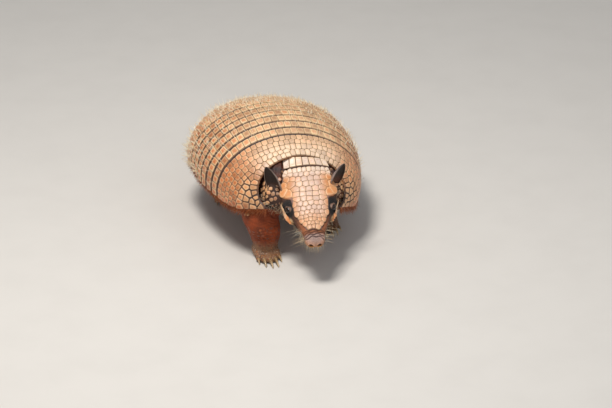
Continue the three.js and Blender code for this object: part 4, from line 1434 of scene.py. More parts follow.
def addEars(maker):
    t = skinTones
    for side, ear in ((1, ears["left"]), (-1, ears["right"])):
        rows = earRows(side, ear)
        count, sides = rows.shape[:2]
        points, faces = tubeMesh(rows)
        onRows = points[:count * sides]
        hollow = np.repeat([0, 0.5, 1, 0.5], [ears["side"], 1, ears["side"], 1])
        if not np.allclose(onRows[0], rows[0, 0]):
            hollow = hollow[::-1]  # the mesh's rows run the other way
        hollow = np.tile(hollow, count)
        high = np.repeat(np.linspace(0, 1, count), sides)
        inside = step(0.3, 0.7, hollow)[:, None]
        rim = bell(hollow, 0.5, 0.3) + step(0.93, 1.0, high) * 0.6
        base = (1 - step(0.0, 0.45, high))[:, None]
        # near-black inside the ear: painted shade in its hollow
        tone = mixed(t["earOut"], t["earIn"], inside)
        tone = mixed(tone, mixed(t["neck"], t["earRoot"], inside), base * 0.6)
        towardsHead = np.repeat(np.abs(onHead(rows.mean(1))[:, 1]), sides) - np.abs(onHead(onRows)[:, 1])
        nearHead = step(3.5, 8.5, towardsHead)[:, None]
        tone = mixed(tone, t["earLit"], nearHead * 0.75)
        tone = mixed(tone, t["earRim"], rim[:, None].clip(0, 1) * 0.7)
        maker.add(points, faces, tone=np.concatenate([tone, tone[:1], tone[-1:]]), wet=0.0)


# The whole skin
folds = dict(
    neckPitch=6.5, neckDepth=1.1, neckUneven=3.0, neckLean=0.45, legPitch=7.5, legDepth=0.8, legUneven=3.5,
    legLean=0.35, flankPitch=11, flankDepth=1.0, flankUneven=3.5,
)
roughness = dict(waves=Waves(3), folds=26, tones=18)


def legDistance(points):
    # how near each point is to a limb's middle line, from 0 at the middle to 1 at its ring and on
    far, above = 9.0, 100
    best = np.full(len(points), far)
    for leg in legs.values():
        ahead, out, ups, long, wide = smoothed(leg["rings"], 40)[::-1].T
        ahead, out, long, wide = (np.interp(points[:, 2], ups, values) for values in (ahead, out, long, wide))
        away = np.hypot((points[:, 0] - origin[0] - leg["side"] * out) / wide,
                        (points[:, 1] - origin[1] + ahead) / long)
        best = np.minimum(best, np.where(points[:, 2] < above, away, far))
    return best


def shapeBody(surface, marks):
    # folds run round the neck, across the legs and down the flanks
    points = surface.points
    normal = surface.normals()
    ahead, up = origin[1] - points[:, 1], points[:, 2]
    legNear = 1 - step(1.05, 1.35, legDistance(points))
    offHead = 1 - marks["head"]
    uneven = roughness["waves"].at(points, roughness["folds"])

    def wave(name, course):
        return np.sin((course + folds[name + "Uneven"] * uneven) * fullTurn / folds[name + "Pitch"])

    neck = step(34, 46, ahead) * offHead * (1 - legNear)
    neckWave = wave("neck", ahead + folds["neckLean"] * up)
    leg = legNear * step(14, 26, up)
    flank = (1 - legNear) * offHead * (1 - neck) * step(-190, -178, ahead)
    flank = flank * (1 - step(84, 92, up))
    rise = neck * folds["neckDepth"] * neckWave \
        + leg * folds["legDepth"] * np.abs(wave("leg", up + folds["legLean"] * ahead)) \
        + flank * folds["flankDepth"] * np.abs(wave("flank", ahead))
    rise = (rise - folds["neckDepth"]) * step(12, 20, up) * offHead
    surface.points = points + rise[:, None] * normal
    surface.points[:, 2] = np.maximum(surface.points[:, 2], 0)
    return dict(neck=neck, leg=legNear)


def skinTone(surface, marks):
    points = surface.points
    along, out, up = headPlace(points)
    ahead, high = origin[1] - points[:, 1], points[:, 2]
    isHead, leg, nose = (marks[name] for name in ("head", "leg", "nose"))
    vary = 0.5 + 0.5 * roughness["waves"].at(points, roughness["tones"])
    body = step(-190, -180, ahead)
    layers = [
        ("belly", step(62, 46, high) * (1 - leg)),
        # the legs' own orange-brown, darkened further as painted shade
        ("leg", leg * step(12, 30, high)),
        ("paw", step(30, 16, high) * leg),
        ("paw", step(20, 14, high) * body),
        ("sole", step(2.5, 0.8, high) * body),
        ("tail", step(-190, -206, ahead)),
        ("neck", marks["neck"] * (0.8 + 0.2 * vary) * step(58, 72, high)),
        # the head's skin made dark brown: painted shade under the shield
        ("cheek", isHead),
        ("throat", isHead * step(-34, -42, up)),
        ("snout", isHead * step(66, 92, along) * step(-24, -14, up)),
        ("ridge", marks["ridge"]),
        # painted shade in the eye's socket
        ("socket", marks["socket"] * 1.1),
        # painted highlight on the upper lid
        ("lid", marks["lid"] * 0.8),
        ("lip", isHead * step(84, 98, along) * step(-19, -22, up)),
        ("pad", nose),
        ("nose", nose * step(-6, -14, up)),
        ("lip", nose * step(-13, -16, up)),
        ("lip", marks["lip"] * step(80, 92, along) * 0.7),
        # dark mouth line: painted shade in its groove
        ("mouth", marks["mouth"] * 0.9),
        # near-black nostrils: painted shade in their holes
        ("nostril", marks["nostril"]),
        # dark nose creases: painted shade in them
        ("mouth", marks["crease"] * 0.85),
    ]
    tone = skinTones["flank"]
    for name, share in layers:
        tone = mixed(tone, skinTones[name], np.clip(share, 0, 1)[:, None])
    return np.clip(tone * (0.82 + 0.3 * vary[:, None]), 0, 1)


def tuckUnderPlates(surface):
    # keeps the skin below the plates of the head and nape
    along, out, up = headPlace(surface.points)
    nape = along < 0
    half = np.where(nape, nuchal["halfWidth"], shieldHalfWidth(along))
    top = roofHeight(along, out) + np.where(nape, napeRise(along, out), 0) - flesh["plateDepth"]
    free = step(half - 0.5, half + 4, np.abs(out)) + step(-17, -21, along) + step(95, 97, along)
    over = np.maximum(up - top - 14 * np.minimum(free, 1), 0) * (along > -22) * (along < 98)
    surface.points -= over[:, None] * headTurning[:, 2]


def makeSkin():
    surface = Surface(joinedSkin())
    print("flesh joined,", len(surface.points), "points")
    along = headPlace(surface.points)[0]
    joints = bell(legDistance(surface.points), 1.1, 0.25) * step(40, 50, surface.points[:, 2])
    nape = (1 - step(14, 26, along)) * step(-30, -16, along)
    surface.smooth(flesh["polish"])
    surface.smooth(14, 0.5, np.clip(np.maximum(joints, nape), 0, 1), False)
    along, out, up = headPlace(surface.points)
    paws = surface.points[:, 2] < 17
    tail = origin[1] - surface.points[:, 1] < -206
    surface.refine((along > 34) & (np.abs(out) < 60) | paws & ~tail)
    surface.smooth(2)
    along, out, up = headPlace(surface.points)
    away = np.stack([along - eye["along"], np.abs(out) - eye["out"], up - eye["up"]], 1)
    surface.refine((np.linalg.norm(away, axis=1) < 11) | (along > 100))
    surface.smooth(2)
    tuckUnderPlates(surface)
    marks = shapeHead(surface)
    marks.update(shapeBody(surface, marks))
    tone = skinTone(surface, marks)
    wet = marks["lid"] * 0.5 + marks["nose"] * 0.45 + marks["nostril"]
    surface.write()
    faces = [tuple(polygon.vertices) for polygon in surface.mesh.polygons]
    groups = [[face for face in faces if len(face) == count] for count in (3, 4)]
    groups += [[face] for face in faces if len(face) > 4]
    maker = MeshMaker()
    maker.add(surface.points, groups, tone=tone, wet=np.clip(wet, 0, 1))
    addEars(maker)
    nodes = "trunk head lower_jaw nose neck ear_left ear_right tail_base tail_middle tail_tip".split()
    for name in legs:
        nodes += [name, name.replace("leg", "foot")]
    skin = maker.make("body_skin", skinCoat, nodes)
    print("skin made,", len(skin.data.polygons), "faces")
    return skin, surface


skin, skinSurface = makeSkin()
skinTree = BVHTree.FromObject(skin, bpy.context.evaluated_depsgraph_get())


# Eyes and claws
eyeball = dict(rings=np.linspace(math.pi * 0.985, 0.03, 40), sides=48, cornea=0.035)


def makeEyes():
    radius, sides = eye["radius"], eyeball["sides"]
    for side, name in ((1, "left"), (-1, "right")):
        middle, _, _, outwards = eyeFrame(side)
        centre = headPoint(*middle)
        axis = unit(headPoint(*(middle + outwards)) - centre)
        across = unit(np.cross(axis, [0, 0, 1]))
        upright = np.cross(across, axis)
        rings = []
        for lean in eyeball["rings"]:
            bulge = 1 + eyeball["cornea"] * step(0.75, 0.2, lean)
            place = centre + axis * radius * bulge * math.cos(lean)
            wide, high = (way * radius * math.sin(lean) for way in (across, upright))
            rings.append(ellipse(place, wide, high, sides))
        points, faces = tubeMesh(rings)
        inner = np.repeat(step(1.1, 0.2, eyeball["rings"]), sides)
        maker = MeshMaker()
        maker.add(points, faces, inner=np.concatenate([inner, [0.0, 1.0]]))
        maker.make(f"eyeball_{name}", eyeCoat, [f"eye_{name}"])


claws = dict(count=20, sides=18, size=(0.66, 0.52, 1.15), rise=0.25, width=0.72)


def clawRings(foot, toe, side):
    root = toeAt(foot, toe, side, 0.86)
    place, _, radius, reach = toe
    thick, thinner, power = claws["size"]
    rings = []
    for k in np.linspace(-0.1, 1.0, claws["count"]):
        out = max(k, 0)
        size = radius * (thick - thinner * out ** power)
        rise = radius * claws["rise"] * math.sin(math.pi * out)
        up = mixed(root[2] + 0.6, size * 0.9 + 0.25, out ** 1.4)
        centre = np.array([root[0] + side * place * 1.6 * k,
                           root[1] - reach * math.sin(k * math.pi / 2.3), up + rise])
        tip = 1 if k < 0.93 else 0.45
        rings.append(upEllipse(centre, size * claws["width"] * tip, size * tip, claws["sides"]))
    rings = np.array(rings)
    rings[..., 2] = np.maximum(rings[..., 2], 0.05)
    return rings


def makeClaws():
    for name, leg in legs.items():
        maker = MeshMaker()
        base = name.replace("leg", "claw")
        for toe in leg["foot"]["toes"]:
            points, faces = tubeMesh(clawRings(leg["foot"], toe, leg["side"]))
            inner = np.repeat(np.linspace(0, 1, claws["count"]), claws["sides"])
            maker.add(points, faces, inner=np.concatenate([inner, [0.0, 1.0]]))
        maker.make(base + "s", clawCoat, [f"{base}_{i + 1}" for i in range(5)])


makeEyes()
makeClaws()
print("eyes and claws made")


# Small scutes set in the skin
def onSkin(points):
    # the nearest places on the skin, and the way the skin faces there
    hits = [skinTree.find_nearest(Vector(p * mm)) for p in points]
    return np.array([hit[0] for hit in hits]) / mm, np.array([hit[1] for hit in hits])


def scattered(points, spacing, draw, limit=100000):
    # places chosen at random, none nearer another than the spacing
    taken, kept = {}, []
    cells = np.floor(points / spacing).astype(int)
    around = [(x, y, z) for x in (-1, 0, 1) for y in (-1, 0, 1) for z in (-1, 0, 1)]
    for i in draw.permutation(len(points)):
        here = tuple(cells[i])
        near = (taken.get((here[0] + x, here[1] + y, here[2] + z)) for x, y, z in around)
        if all(other is None or ((points[i] - points[other]) ** 2).sum() > spacing ** 2 for other in near):
            taken[here] = i
            kept.append(i)
            if len(kept) >= limit:
                break
    return np.array(kept, int)


# profile: share of the way out, and height over the skin
stud = dict(
    profile=np.array([(1.0, -0.6), (1.0, -0.05), (0.9, 0.28), (0.66, 0.46), (0.34, 0.52), (0.02, 0.56)]),
    sides=16, uneven=(0.07, 0.05), square=3.2, fullSize=2.4, tone=(0.86, 0.26), patch=0.0026,
)


def addStuds(maker, points, normals, forward, halfLength, halfWidth, tones, places, draw, rise=1.0, edge=0.7,
             cream=0.15):
    # low domes on the skin, longest along their forward direction
    count, sides, rings = len(points), stud["sides"], len(stud["profile"])
    halfLength, halfWidth = (np.broadcast_to(half, count) for half in (halfLength, halfWidth))
    forward = unit(forward - (forward * normals).sum(1)[:, None] * normals)
    sideways = np.cross(normals, forward)
    angle = np.linspace(0, fullTurn, sides, endpoint=False)
    cos, sin = np.cos(angle), np.sin(angle)
    starts = draw.uniform(0, fullTurn, (count, 2, 1))
    twice, thrice = stud["uneven"]
    uneven = 1 + twice * np.sin(2 * angle + starts[:, 0]) + thrice * np.sin(3 * angle + starts[:, 1])
    power = stud["square"]
    out = uneven * (1 / (np.abs(cos) ** power + np.abs(sin) ** power) ** (1 / power))
    x, y = out * cos * halfLength[:, None], out * sin * halfWidth[:, None]
    share, high = stud["profile"].T[:, None, :, None]
    high = high * rise * np.minimum(halfWidth / stud["fullSize"], 1)[:, None, None]
    offset = (share * x[:, None])[..., None] * forward[:, None, None] \
        + (share * y[:, None])[..., None] * sideways[:, None, None] + high[..., None] * normals[:, None, None]
    cap = np.array([[(rings - 1) * sides + j for j in range(sides)]])
    starts = (np.arange(count) * rings * sides)[:, None, None]
    inner = np.broadcast_to(1 - share, (count, rings, sides)).ravel()
    tint = np.repeat(draw.uniform(size=count), rings * sides)
    least, more = stud["tone"]
    tone = np.repeat(np.broadcast_to(tones, points.shape), rings * sides, 0) * (least + more * tint[:, None])
    patch = np.stack([cos, sin], 1)[None, None] * share[..., None] * stud["patch"]
    maker.add((points[:, None, None] + offset).reshape(-1, 3),
              [(gridFaces(rings, sides, True) + starts).reshape(-1, 4), (cap + starts).reshape(-1, sides)],
              inner=inner, tint=tint, tone=np.clip(tone, 0, 1), cream=cream, edge=edge,
              place=(places[:, None, None] + patch).reshape(-1, 2))


def unwrapRound(points, centre, axis, length):
    # an unwrap round an axis: the turn about it, and the way along it
    axis = unit(np.asarray(axis, float))
    offset = points - centre
    first = unit(np.cross(axis, [0.3, 0.2, 0.9]))
    turn = np.arctan2(offset @ first, offset @ np.cross(axis, first)) / fullTurn
    return np.stack([0.5 + 0.96 * turn, np.clip(0.5 + 0.96 * (offset @ axis) / length, 0.005, 0.995)], 1)


studTones = dict(
    neck=rgb(228, 172, 120), neckDark=rgb(132, 96, 78), ridge=rgb(254, 210, 168), ridgeLow=rgb(226, 140, 76),
    # the legs' studs: their own orange-brown, darkened further with the leg's skin as painted shade
    cheek=rgb(116, 70, 44), leg=rgb(112, 46, 10), paw=rgb(132, 90, 56), tail=rgb(214, 150, 94),
)
headAxis = dict(centre=headPoint(50, 0, -20), axis=headPoint(100, 0, -20) - headPoint(0, 0, -20), length=140)
neckAxis = dict(centre=neckLine["start"], axis=neckLine["end"] - neckLine["start"], length=120)
offRidge = 0.02
neckStuds = dict(spacing=5.3, size=(2.5, 2.9), smaller=0.16, shade=(0.75, 0.3))
# lanes over the ridge: first place, height over the middle line, half length and half width
faceStuds = dict(
    lanes=[(0, 0.4, 2.15, 3.135), (1, -4.3, 1.8, 1.71)], rise=0.45, edge=0.15, spacing=3.6,
    limit=360, size=(0.8, 1.35), long=1.2, cheekRise=0.7,
)
# lowest and highest place, spacing, size, how far they face out at least, and rise
legStuds = dict(leg=(19, 48, 4.9, 1.9, 0.35, 0.3), paw=(5, 20, 3.0, 1.3, -0.2, 0.8))


def headWay(*way):
    # a direction given in head measures
    return headPoint(*way) - headPoint(0, 0, 0)


def neckScutes():
    draw = np.random.default_rng(31)
    points = skinSurface.points
    along, out, up = headPlace(points)
    ahead, high = origin[1] - points[:, 1], points[:, 2]
    neck = (ahead > 46) & (ahead < 100) & (high > 60) & (np.abs(out) > 26) & (up < -6)
    neck &= (along < 8) | (along < 36) & ((up < -17) | (np.abs(out) > skullHalfWidth(along) + 2))
    neck &= ridgeNear(np.stack([along, out, up], 1)) < offRidge
    points = points[neck]
    points, normals = onSkin(points[scattered(points, neckStuds["spacing"], draw)])
    count = len(points)
    along, out, up = headPlace(points)
    inwards = step(16, 4, np.abs(out) - skullHalfWidth(along))
    size = draw.uniform(*neckStuds["size"], count) * (1 - neckStuds["smaller"] * inwards)
    deeper, uneven = neckStuds["shade"]
    shade = (deeper * inwards + uneven * draw.uniform(size=count))[:, None].clip(0, 1)
    tones = mixed(studTones["neck"], studTones["neckDark"], shade)
    maker = MeshMaker()
    addStuds(maker, points, normals, np.array([0.0, -0.8, 0.6]), size,
             size * draw.uniform(0.85, 1.0, count), tones, unwrapRound(points, **neckAxis), draw)
    maker.make("neck_scutes", horn)
    return count


def faceScutes():
    draw = np.random.default_rng(32)
    maker = MeshMaker()
    ridge = np.array(face["ridge"], float)
    steps = np.linspace(0, len(ridge) - 1, 9)
    centre = np.stack([np.interp(steps, range(len(ridge)), column) for column in ridge.T], 1)
    lengthwise = np.gradient(centre, axis=0)
    for side in (-1, 1):
        mirror = [1, side, 1]
        for first, lane, long, wide in faceStuds["lanes"]:
            place = centre[first:] + [0, 0, lane]
            points, normals = onSkin(headPoint(*(place * mirror).T))
            tones = mixed(studTones["ridge"], studTones["ridgeLow"], step(55, 68, place[:, :1]))
            addStuds(maker, points, normals, headWay(*(lengthwise[first:] * mirror).T), long, wide, tones,
                     unwrapRound(points, **headAxis), draw, faceStuds["rise"], faceStuds["edge"])
    # scattered small ones over the cheeks
    along, out, up = headPlace(skinSurface.points)
    cheek = (along > 40) & (along < 84) & (up < -19) & (up > -38) & (np.abs(out) > 12)
    cheek &= ridgeNear(np.stack([along, out, up], 1)) < offRidge
    points = skinSurface.points[cheek]
    points, normals = onSkin(points[scattered(points, faceStuds["spacing"], draw, faceStuds["limit"])])
    size = draw.uniform(*faceStuds["size"], len(points))
    addStuds(maker, points, normals, headAxis["axis"], size * faceStuds["long"], size, studTones["cheek"],
             unwrapRound(points, **headAxis), draw, faceStuds["cheekRise"])
    maker.make("face_scutes", horn)


def legScutes():
    draw = np.random.default_rng(33)
    points, normals = skinSurface.points, skinSurface.normals()
    for name, leg in legs.items():
        foot = leg["foot"]
        centre = bodyPoint(foot["ahead"], leg["side"] * foot["out"], 0)
        across, along = np.abs(points - centre)[:, :2].T
        near = (across < 34) & (along < 46)
        facing = normals @ unit((0.55, -0.8, 0.15) * np.array([leg["side"], 1, 1]))
        maker = MeshMaker()
        for kind, (low, high, spacing, size, least, rise) in legStuds.items():
            zone = near & (points[:, 2] > low) & (points[:, 2] < high)
            if kind == "leg":
                zone &= (facing > least) & (legDistance(points) < 1.2)
            else:
                zone &= (facing > least) | (normals[:, 2] > 0.45)
            chosen = points[zone]
            spots, ways = onSkin(chosen[scattered(chosen, spacing, draw, 420)])
            sizes = size * draw.uniform(0.8, 1.1, len(spots))
            places = unwrapRound(spots, centre + [0, 0, 40], (0.0, 0.25, 1.0), 130)
            addStuds(maker, spots, ways, np.array([0.0, -1.0, -0.4]), sizes, sizes * 0.92,
                     studTones[kind], places, draw, rise, cream=0.0)
        maker.make(name + "_scutes", horn)


tailLook = dict(profile=[(-0.1, -0.8), (0.0, -0.2), (0.25, 0.15), (0.8, 0.38), (1.6, 0.5)], corner=0.9,
                fullSize=3.0, uneven=0.06, slope=0.22, cream=0.3, edge=(0.7, 0.7), edgeSpan=(0.2, 0.7))
tailBed = dict(sizes=(8.4, 6.4, 3.4), middle=70, close=0.92, gap=0.28, tone=(0.84, 0.28))


def tailAt(turn, along, height):
    # a place on the tail: the turn about it, and the way along it from its root
    turn, along, height = sameShape(turn, along, height)
    points, radius, across, upright = tailFrames()
    lengths = lengthsAlong(points)

    def at(values):
        return np.stack([np.interp(along, lengths, column) for column in values.T], -1)

    reach = (np.interp(along, lengths, radius) - 0.45 + height)[..., None]
    return at(points) + reach * (np.cos(turn)[..., None] * at(upright) + np.sin(turn)[..., None] * at(across))


def tailScutes():
    draw = np.random.default_rng(34)
    points, radius, _, _ = tailFrames()
    lengths = lengthsAlong(points)
    end = lengths[-1]
    seeds, row, along = [], 0, 14.0
    while along < end - 12:
        size = np.interp(along, [0, tailBed["middle"], end], tailBed["sizes"])
        count = max(int(fullTurn * np.interp(along, lengths, radius) / (size * tailBed["close"])), 5)
        turns = (np.arange(count) + 0.5 * (row % 2)) / count * fullTurn - math.pi
        turns = turns + draw.normal(size=count) * 0.02
        seeds.append(np.stack([turns, along + draw.normal(size=count) * 0.25], 1))
        along += size
        row += 1
    seeds = np.concatenate(seeds)
    around = np.concatenate([seeds + [fullTurn, 0], seeds - [fullTurn, 0]])
    around = around[np.abs(around[:, 0]) < math.pi * 1.5]
    before = seeds[seeds[:, 1] < 16] - [0, tailBed["sizes"][0]]
    after = seeds[seeds[:, 1] > along - 8] + [0, 4]
    cells = cellsOf(seeds, np.concatenate([around, before, after]), tailAt, 7, tailBed["gap"])
    keep = tailAt(seeds[:, 0], seeds[:, 1], 0)[:, 2] > 1.2
    cells = [cell for cell in cells if keep[cell["index"]]]
    least, more = tailBed["tone"]

    def tone(parameters, points, tint):
        return np.clip(studTones["tail"] * (least + more * tint[:, None]), 0, 1)

    def unwrap(parameters):
        turn, along = parameters.T
        return np.stack([0.5 + turn * 0.148, 0.02 + along / end * 0.95], 1)

    maker = MeshMaker()
    addScutes(maker, cells, tailAt, tailLook, tone, unwrap, draw)
    maker.make("tail_scutes", horn)
    return len(cells)


print("neck scutes,", neckScutes())
faceScutes()
legScutes()
print("tail scutes,", tailScutes())


# Hairs
def addHairs(maker, roots, ways, normals, lengths, thickness, bend, tints, dark, places):
    # tapered three-sided hairs: each sets out along its way and bends towards its bend direction
    count = len(roots)
    ways = unit(ways)
    t = np.array([0.0, 0.3, 0.62, 1.0])[None, :, None]
    sideways = unit(np.cross(ways, normals + 1e-4))
    course = roots[:, None] + lengths[:, None, None] * (ways[:, None] * t + bend[:, None] * t ** 2)
    radius = thickness[:, None, None] * np.array([1.0, 0.85, 0.6, 0.0])[None, :, None]
    upright = np.cross(sideways, ways)
    rings = []
    for turn in np.arange(3) * fullTurn / 3:
        rings.append(course + radius * (math.cos(turn) * sideways + math.sin(turn) * upright)[:, None])
    body = np.stack(rings, 2)[:, :3].reshape(count, 9, 3)
    points = np.concatenate([body, course[:, 3:]], 1)
    tip = np.array([[6, 7, 9], [7, 8, 9], [8, 6, 9]])
    starts = (np.arange(count) * 10)[:, None, None]
    corners = [[math.cos(k * 2.1), math.sin(k * 2.1)] for k in range(3)]
    patch = np.concatenate([np.array(corners) * share for share in (1.0, 0.7, 0.4)] + [[[0, 0]]])
    places = np.clip(places, 0.003, 0.997)[:, None] + patch * 0.0015
    maker.add(points.reshape(-1, 3),
              [(gridFaces(3, 3, True) + starts).reshape(-1, 4), (tip + starts).reshape(-1, 3)],
              tint=np.repeat(tints, 10), dark=np.repeat(dark, 10), place=places.reshape(-1, 2))


# lift: how far they stand off, the least and the most; sides: the share kept away from the middle
shellHair = dict(
    perScute=[0.9, 1.7, 2.5, 3.1, 3.4, 3.4], pelvic=2400, rim=4200, length=(6, 16), thickness=(0.22, 0.37),
    lift=(0.25, 1.1), sides=0.4,
)
rimHair = dict(across=0.985, length=(5, 10), longer=0.5, thickness=(0.16, 0.26))


def shellWays(across, ahead):
    # normals of the shell, and the way back along it
    here = shellAt(across, ahead, 0)
    normal = unit(shellAt(across, ahead, 1) - here)
    return here, normal, unit(shellAt(across, ahead - 1.0, 0) - here)


def growShellHair():
    draw = np.random.default_rng(41)
    spots = []
    for i, share in enumerate(shellHair["perScute"]):
        count = int(share * girth(grooveLine(i + 1))[0] / bandSizes["pitch"])
        across = draw.uniform(-1, 1, count)
        behind = np.where(draw.uniform(size=count) < 0.6, draw.uniform(1.3, 3.0, count),
                          draw.uniform(3, 13, count))
        spots.append(np.stack([across, grooveLine(i + 1)(across) + behind], 1))
    across = draw.uniform(-1, 1, shellHair["pelvic"])
    back = draw.uniform(0, 1, shellHair["pelvic"]) ** 1.25
    back = np.where(np.abs(across) > 0.7, back * 0.45, back)
    kept = (np.abs(across) < 0.5) | (draw.uniform(size=len(across)) < shellHair["sides"])
    across, back = across[kept], back[kept]
    start = grooveLine(shell["bandCount"])(across) - 2
    spots.append(np.stack([across, start + (shell["rumpEnd"] + 2 - start) * back], 1))
    spots = np.concatenate(spots)
    here, normal, backwards = shellWays(*spots.T)
    n = len(spots)
    lift = draw.uniform(*shellHair["lift"], n)[:, None]
    sideways = np.cross(normal, backwards)
    ways = backwards + lift * normal + draw.normal(size=(n, 1)) * 0.28 * sideways
    bend = -0.3 * draw.uniform(0, 1, (n, 1)) * normal + draw.normal(size=(n, 3)) * 0.14
    lengths = draw.uniform(*shellHair["length"], n) * (0.75 + 0.35 * step(0.2, 0.9, np.abs(spots[:, 0])))
    maker = MeshMaker()
    addHairs(maker, here + normal * 0.2, ways, normal, lengths, draw.uniform(*shellHair["thickness"], n),
             bend, draw.uniform(0, 1, n) ** 1.6, np.zeros(n), unwrapShell(spots))
    maker.make("back_hair", straw)

    count = shellHair["rim"]
    side = np.where(np.arange(count) % 2 == 0, 1.0, -1.0)
    across = side * rimHair["across"]
    ahead = draw.uniform(shell["rumpEnd"] + 4, 74, count)
    here, normal, backwards = shellWays(across, ahead)
    down = unit(shellAt(side, ahead, 0) - shellAt(side * 0.95, ahead, 0))
    ways = down + backwards * draw.uniform(0.2, 1.0, (count, 1))
    ways = ways + normal * draw.uniform(-0.15, 0.5, (count, 1))
    bend = draw.normal(size=(count, 3)) * 0.16 + [0, 0, -0.12]
    long = 1 + rimHair["longer"] * step(-20, 40, ahead)
    maker = MeshMaker()
    addHairs(maker, here - normal * 1.2, ways, normal, draw.uniform(*rimHair["length"], count) * long,
             draw.uniform(*rimHair["thickness"], count), bend, draw.uniform(0, 1, count), np.zeros(count),
             unwrapShell(np.stack([across, ahead], 1)))
    maker.make("rim_hair", rust)
    return n + count


skinHair = dict(lift=(0.35, 0.9), bend=0.13, drop=-0.15, dark=0.8)


def growSkinHair(name, mask, spacing, limit, lengths, thickness, way, spread, seed, darkness, axis):
    # sparse hairs over part of the skin, each leaning the given way
    draw = np.random.default_rng(seed)
    points = skinSurface.points[mask]
    kept = scattered(points, spacing, draw, limit)
    points, normals = points[kept], skinSurface.normals()[mask][kept]
    n = len(points)
    ways = normals * draw.uniform(*skinHair["lift"], (n, 1)) + np.asarray(way)
    ways += draw.normal(size=(n, 3)) * spread
    ways -= np.minimum((unit(ways) * normals).sum(1)[:, None] - 0.25, 0) * normals
    bend = draw.normal(size=(n, 3)) * skinHair["bend"] + [0, 0, skinHair["drop"]]
    length = draw.uniform(*lengths, n)
    tip = points[:, 2] + length * (unit(ways)[:, 2] + bend[:, 2])
    bend[:, 2] += np.maximum(1.0 - tip, 0) / length  # none goes through the floor
    maker = MeshMaker()
    addHairs(maker, points - normals * 0.2, ways, normals, length, draw.uniform(*thickness, n), bend,
             draw.uniform(0, 1, n), (draw.uniform(size=n) < darkness) * skinHair["dark"],
             unwrapRound(points, **axis))
    maker.make(name, straw)
    return n


def growBodyHair():
    points = skinSurface.points
    along, out, up = headPlace(points)
    ahead, high = origin[1] - points[:, 1], points[:, 2]
    nearLeg = legDistance(points)
    isHead = (along > 6) & (ahead > 40) & (up > -58) & (nearLeg > 1.35)
    belly = (high < 78) & ~isHead & (ahead < 58) & (ahead > -206) & (high > 13)
    belly &= (nearLeg >= 1.35) | (high >= 84)
    lips = isHead & (along > 86) & (along < 106) & (up > -19) & (up < -9) & (np.abs(out) > 9)
    trunk = dict(centre=bodyPoint(-80, 0, 60), axis=(0, 1, 0), length=420)
    tail = dict(centre=bodyPoint(-290, 25, 30), axis=(0.2, 1, -0.25), length=220)
    # where, spacing, most of them, lengths, thickness, way, spread, seed, share of dark ones, unwrap
    kinds = dict(
        belly_hair=(belly, 3.9, 3600, (8, 15), (0.12, 0.19), (0, 0.7, -0.75), 0.25, 51, 0.1, trunk),
        paw_hair=((high > 5) & (high <= 14) & (ahead > -190), 3.4, 700, (3, 6), (0.09, 0.14), (0, -0.5, -0.4),
                  0.25, 52, 0.1, trunk),
        cheek_hair=(isHead & (along < 92) & (up < -22), 2.6, 900, (6, 13), (0.1, 0.15),
                    unit(headWay(-60, 0, -55)), 0.25, 53, 0.25, headAxis),
        chin_hair=(isHead & (along > 84) & (up < -19.5), 1.5, 150, (8, 17), (0.11, 0.16), (0, -0.1, -1.6),
                   0.16, 54, 0.05, headAxis),
        whiskers_left=(lips & (out > 0), 2.4, 16, (14, 24), (0.12, 0.16), unit(headWay(-12, 60, -22)) * 2.2,
                       0.2, 56, 0.2, headAxis),
        whiskers_right=(lips & (out < 0), 2.4, 16, (14, 24), (0.12, 0.16), unit(headWay(-12, -60, -22)) * 2.2,
                        0.2, 56, 0.2, headAxis),
        tail_hair=((ahead < -208) & (high > 0.8), 4.6, 700, (4, 8), (0.1, 0.15),
                   unit(bodyPoint(-1, 0.25, -0.25) - origin) * 1.6, 0.2, 57, 0.1, tail),
    )
    return sum(growSkinHair(name, *values) for name, values in kinds.items())


print("shell hairs,", growShellHair())
print("skin hairs,", growBodyHair())


# Camera, floor and light
view = dict(azimuth=math.radians(-15), elevation=math.radians(26.5), distance=4000.0, across=784.6,
            sensor=36.0, aim=142, right=20.77, down=85.64, clip=20)


def wayTo(azimuth, elevation):
    # a direction given by its turn from straight ahead and its height
    return np.array([math.sin(azimuth) * math.cos(elevation), -math.cos(azimuth) * math.cos(elevation),
                     math.sin(elevation)])


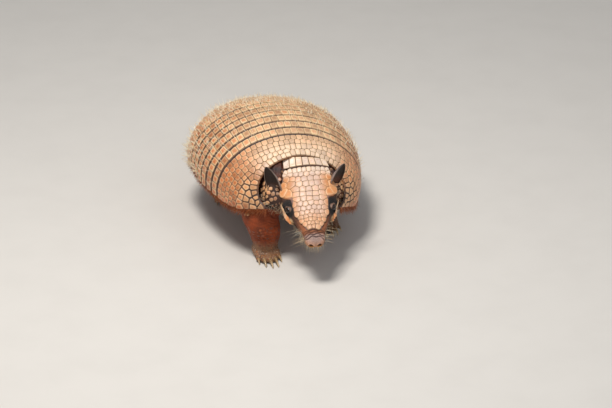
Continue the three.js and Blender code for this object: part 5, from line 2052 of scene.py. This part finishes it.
def setCamera():
    back = wayTo(view["azimuth"], view["elevation"])
    right = np.array([math.cos(view["azimuth"]), math.sin(view["azimuth"]), 0])
    up = np.cross(back, right)
    aim = origin + np.array([0, 0, view["aim"]]) + right * view["right"] - up * view["down"]
    camera = bpy.data.cameras.new("camera")
    camera.sensor_width = view["sensor"]
    camera.lens = view["sensor"] * view["distance"] / view["across"]
    camera.clip_end = view["clip"]
    holder = bpy.data.objects.new("camera", camera)
    place = Matrix(np.column_stack([right, up, back]).tolist()).to_4x4()
    place.translation = Vector((aim + back * view["distance"]) * mm)
    holder.matrix_world = place
    bpy.context.scene.collection.objects.link(holder)
    bpy.context.scene.camera = holder


# the lamps' sizes, distances and the height they aim at are in metres
lighting = dict(
    key=dict(azimuth=-38, elevation=66, size=0.4, power=23, distance=1.6, tint=(1.0, 0.97, 0.93)),
    fill=dict(azimuth=40, elevation=35, size=1.6, power=4, distance=2.0, tint=(0.88, 0.93, 1.0)),
    sky=(0.85, 0.87, 0.9), skyStrength=0.36, height=0.07,
)


def setLights():
    for name in ("key", "fill"):
        look = lighting[name]
        lamp = bpy.data.lights.new(name, "AREA")
        lamp.size, lamp.energy, lamp.color = look["size"], look["power"], look["tint"]
        holder = bpy.data.objects.new(name, lamp)
        away = Vector(wayTo(math.radians(look["azimuth"]), math.radians(look["elevation"])))
        holder.location = away * look["distance"] + Vector((0, 0, lighting["height"]))
        holder.rotation_euler = away.to_track_quat("Z", "Y").to_euler()
        bpy.context.scene.collection.objects.link(holder)
    world = bpy.data.worlds.new("studio")
    bpy.context.scene.world = world
    world.use_nodes = True
    sky = world.node_tree.nodes["Background"]
    sky.inputs["Color"].default_value = (*lighting["sky"], 1)
    sky.inputs["Strength"].default_value = lighting["skyStrength"]
    bpy.context.scene.view_settings.view_transform = "Standard"


ground = dict(half=6, grain=(60, 3), span=(0.3, 0.8), strength=0.3, light=rgb(214, 210, 204),
              dark=rgb(204, 200, 194), roughness=0.85)


def setFloor():
    mesh = bpy.data.meshes.new("floor")
    half = ground["half"]
    corners = [(-half, -half, 0), (half, -half, 0), (half, half, 0), (-half, half, 0)]
    mesh.from_pydata(corners, [], [(0, 1, 2, 3)])
    floor = bpy.data.objects.new("floor", mesh)
    paint = Paint("floor")
    grain = paint.noise(*ground["grain"]).between(*ground["span"]) * ground["strength"]
    colour = paint.mix(grain, ground["light"], ground["dark"])
    mesh.materials.append(paint.finish(colour, ground["roughness"]))
    bpy.context.scene.collection.objects.link(floor)


setCamera()
setLights()
setFloor()
print("camera, lights and floor set")
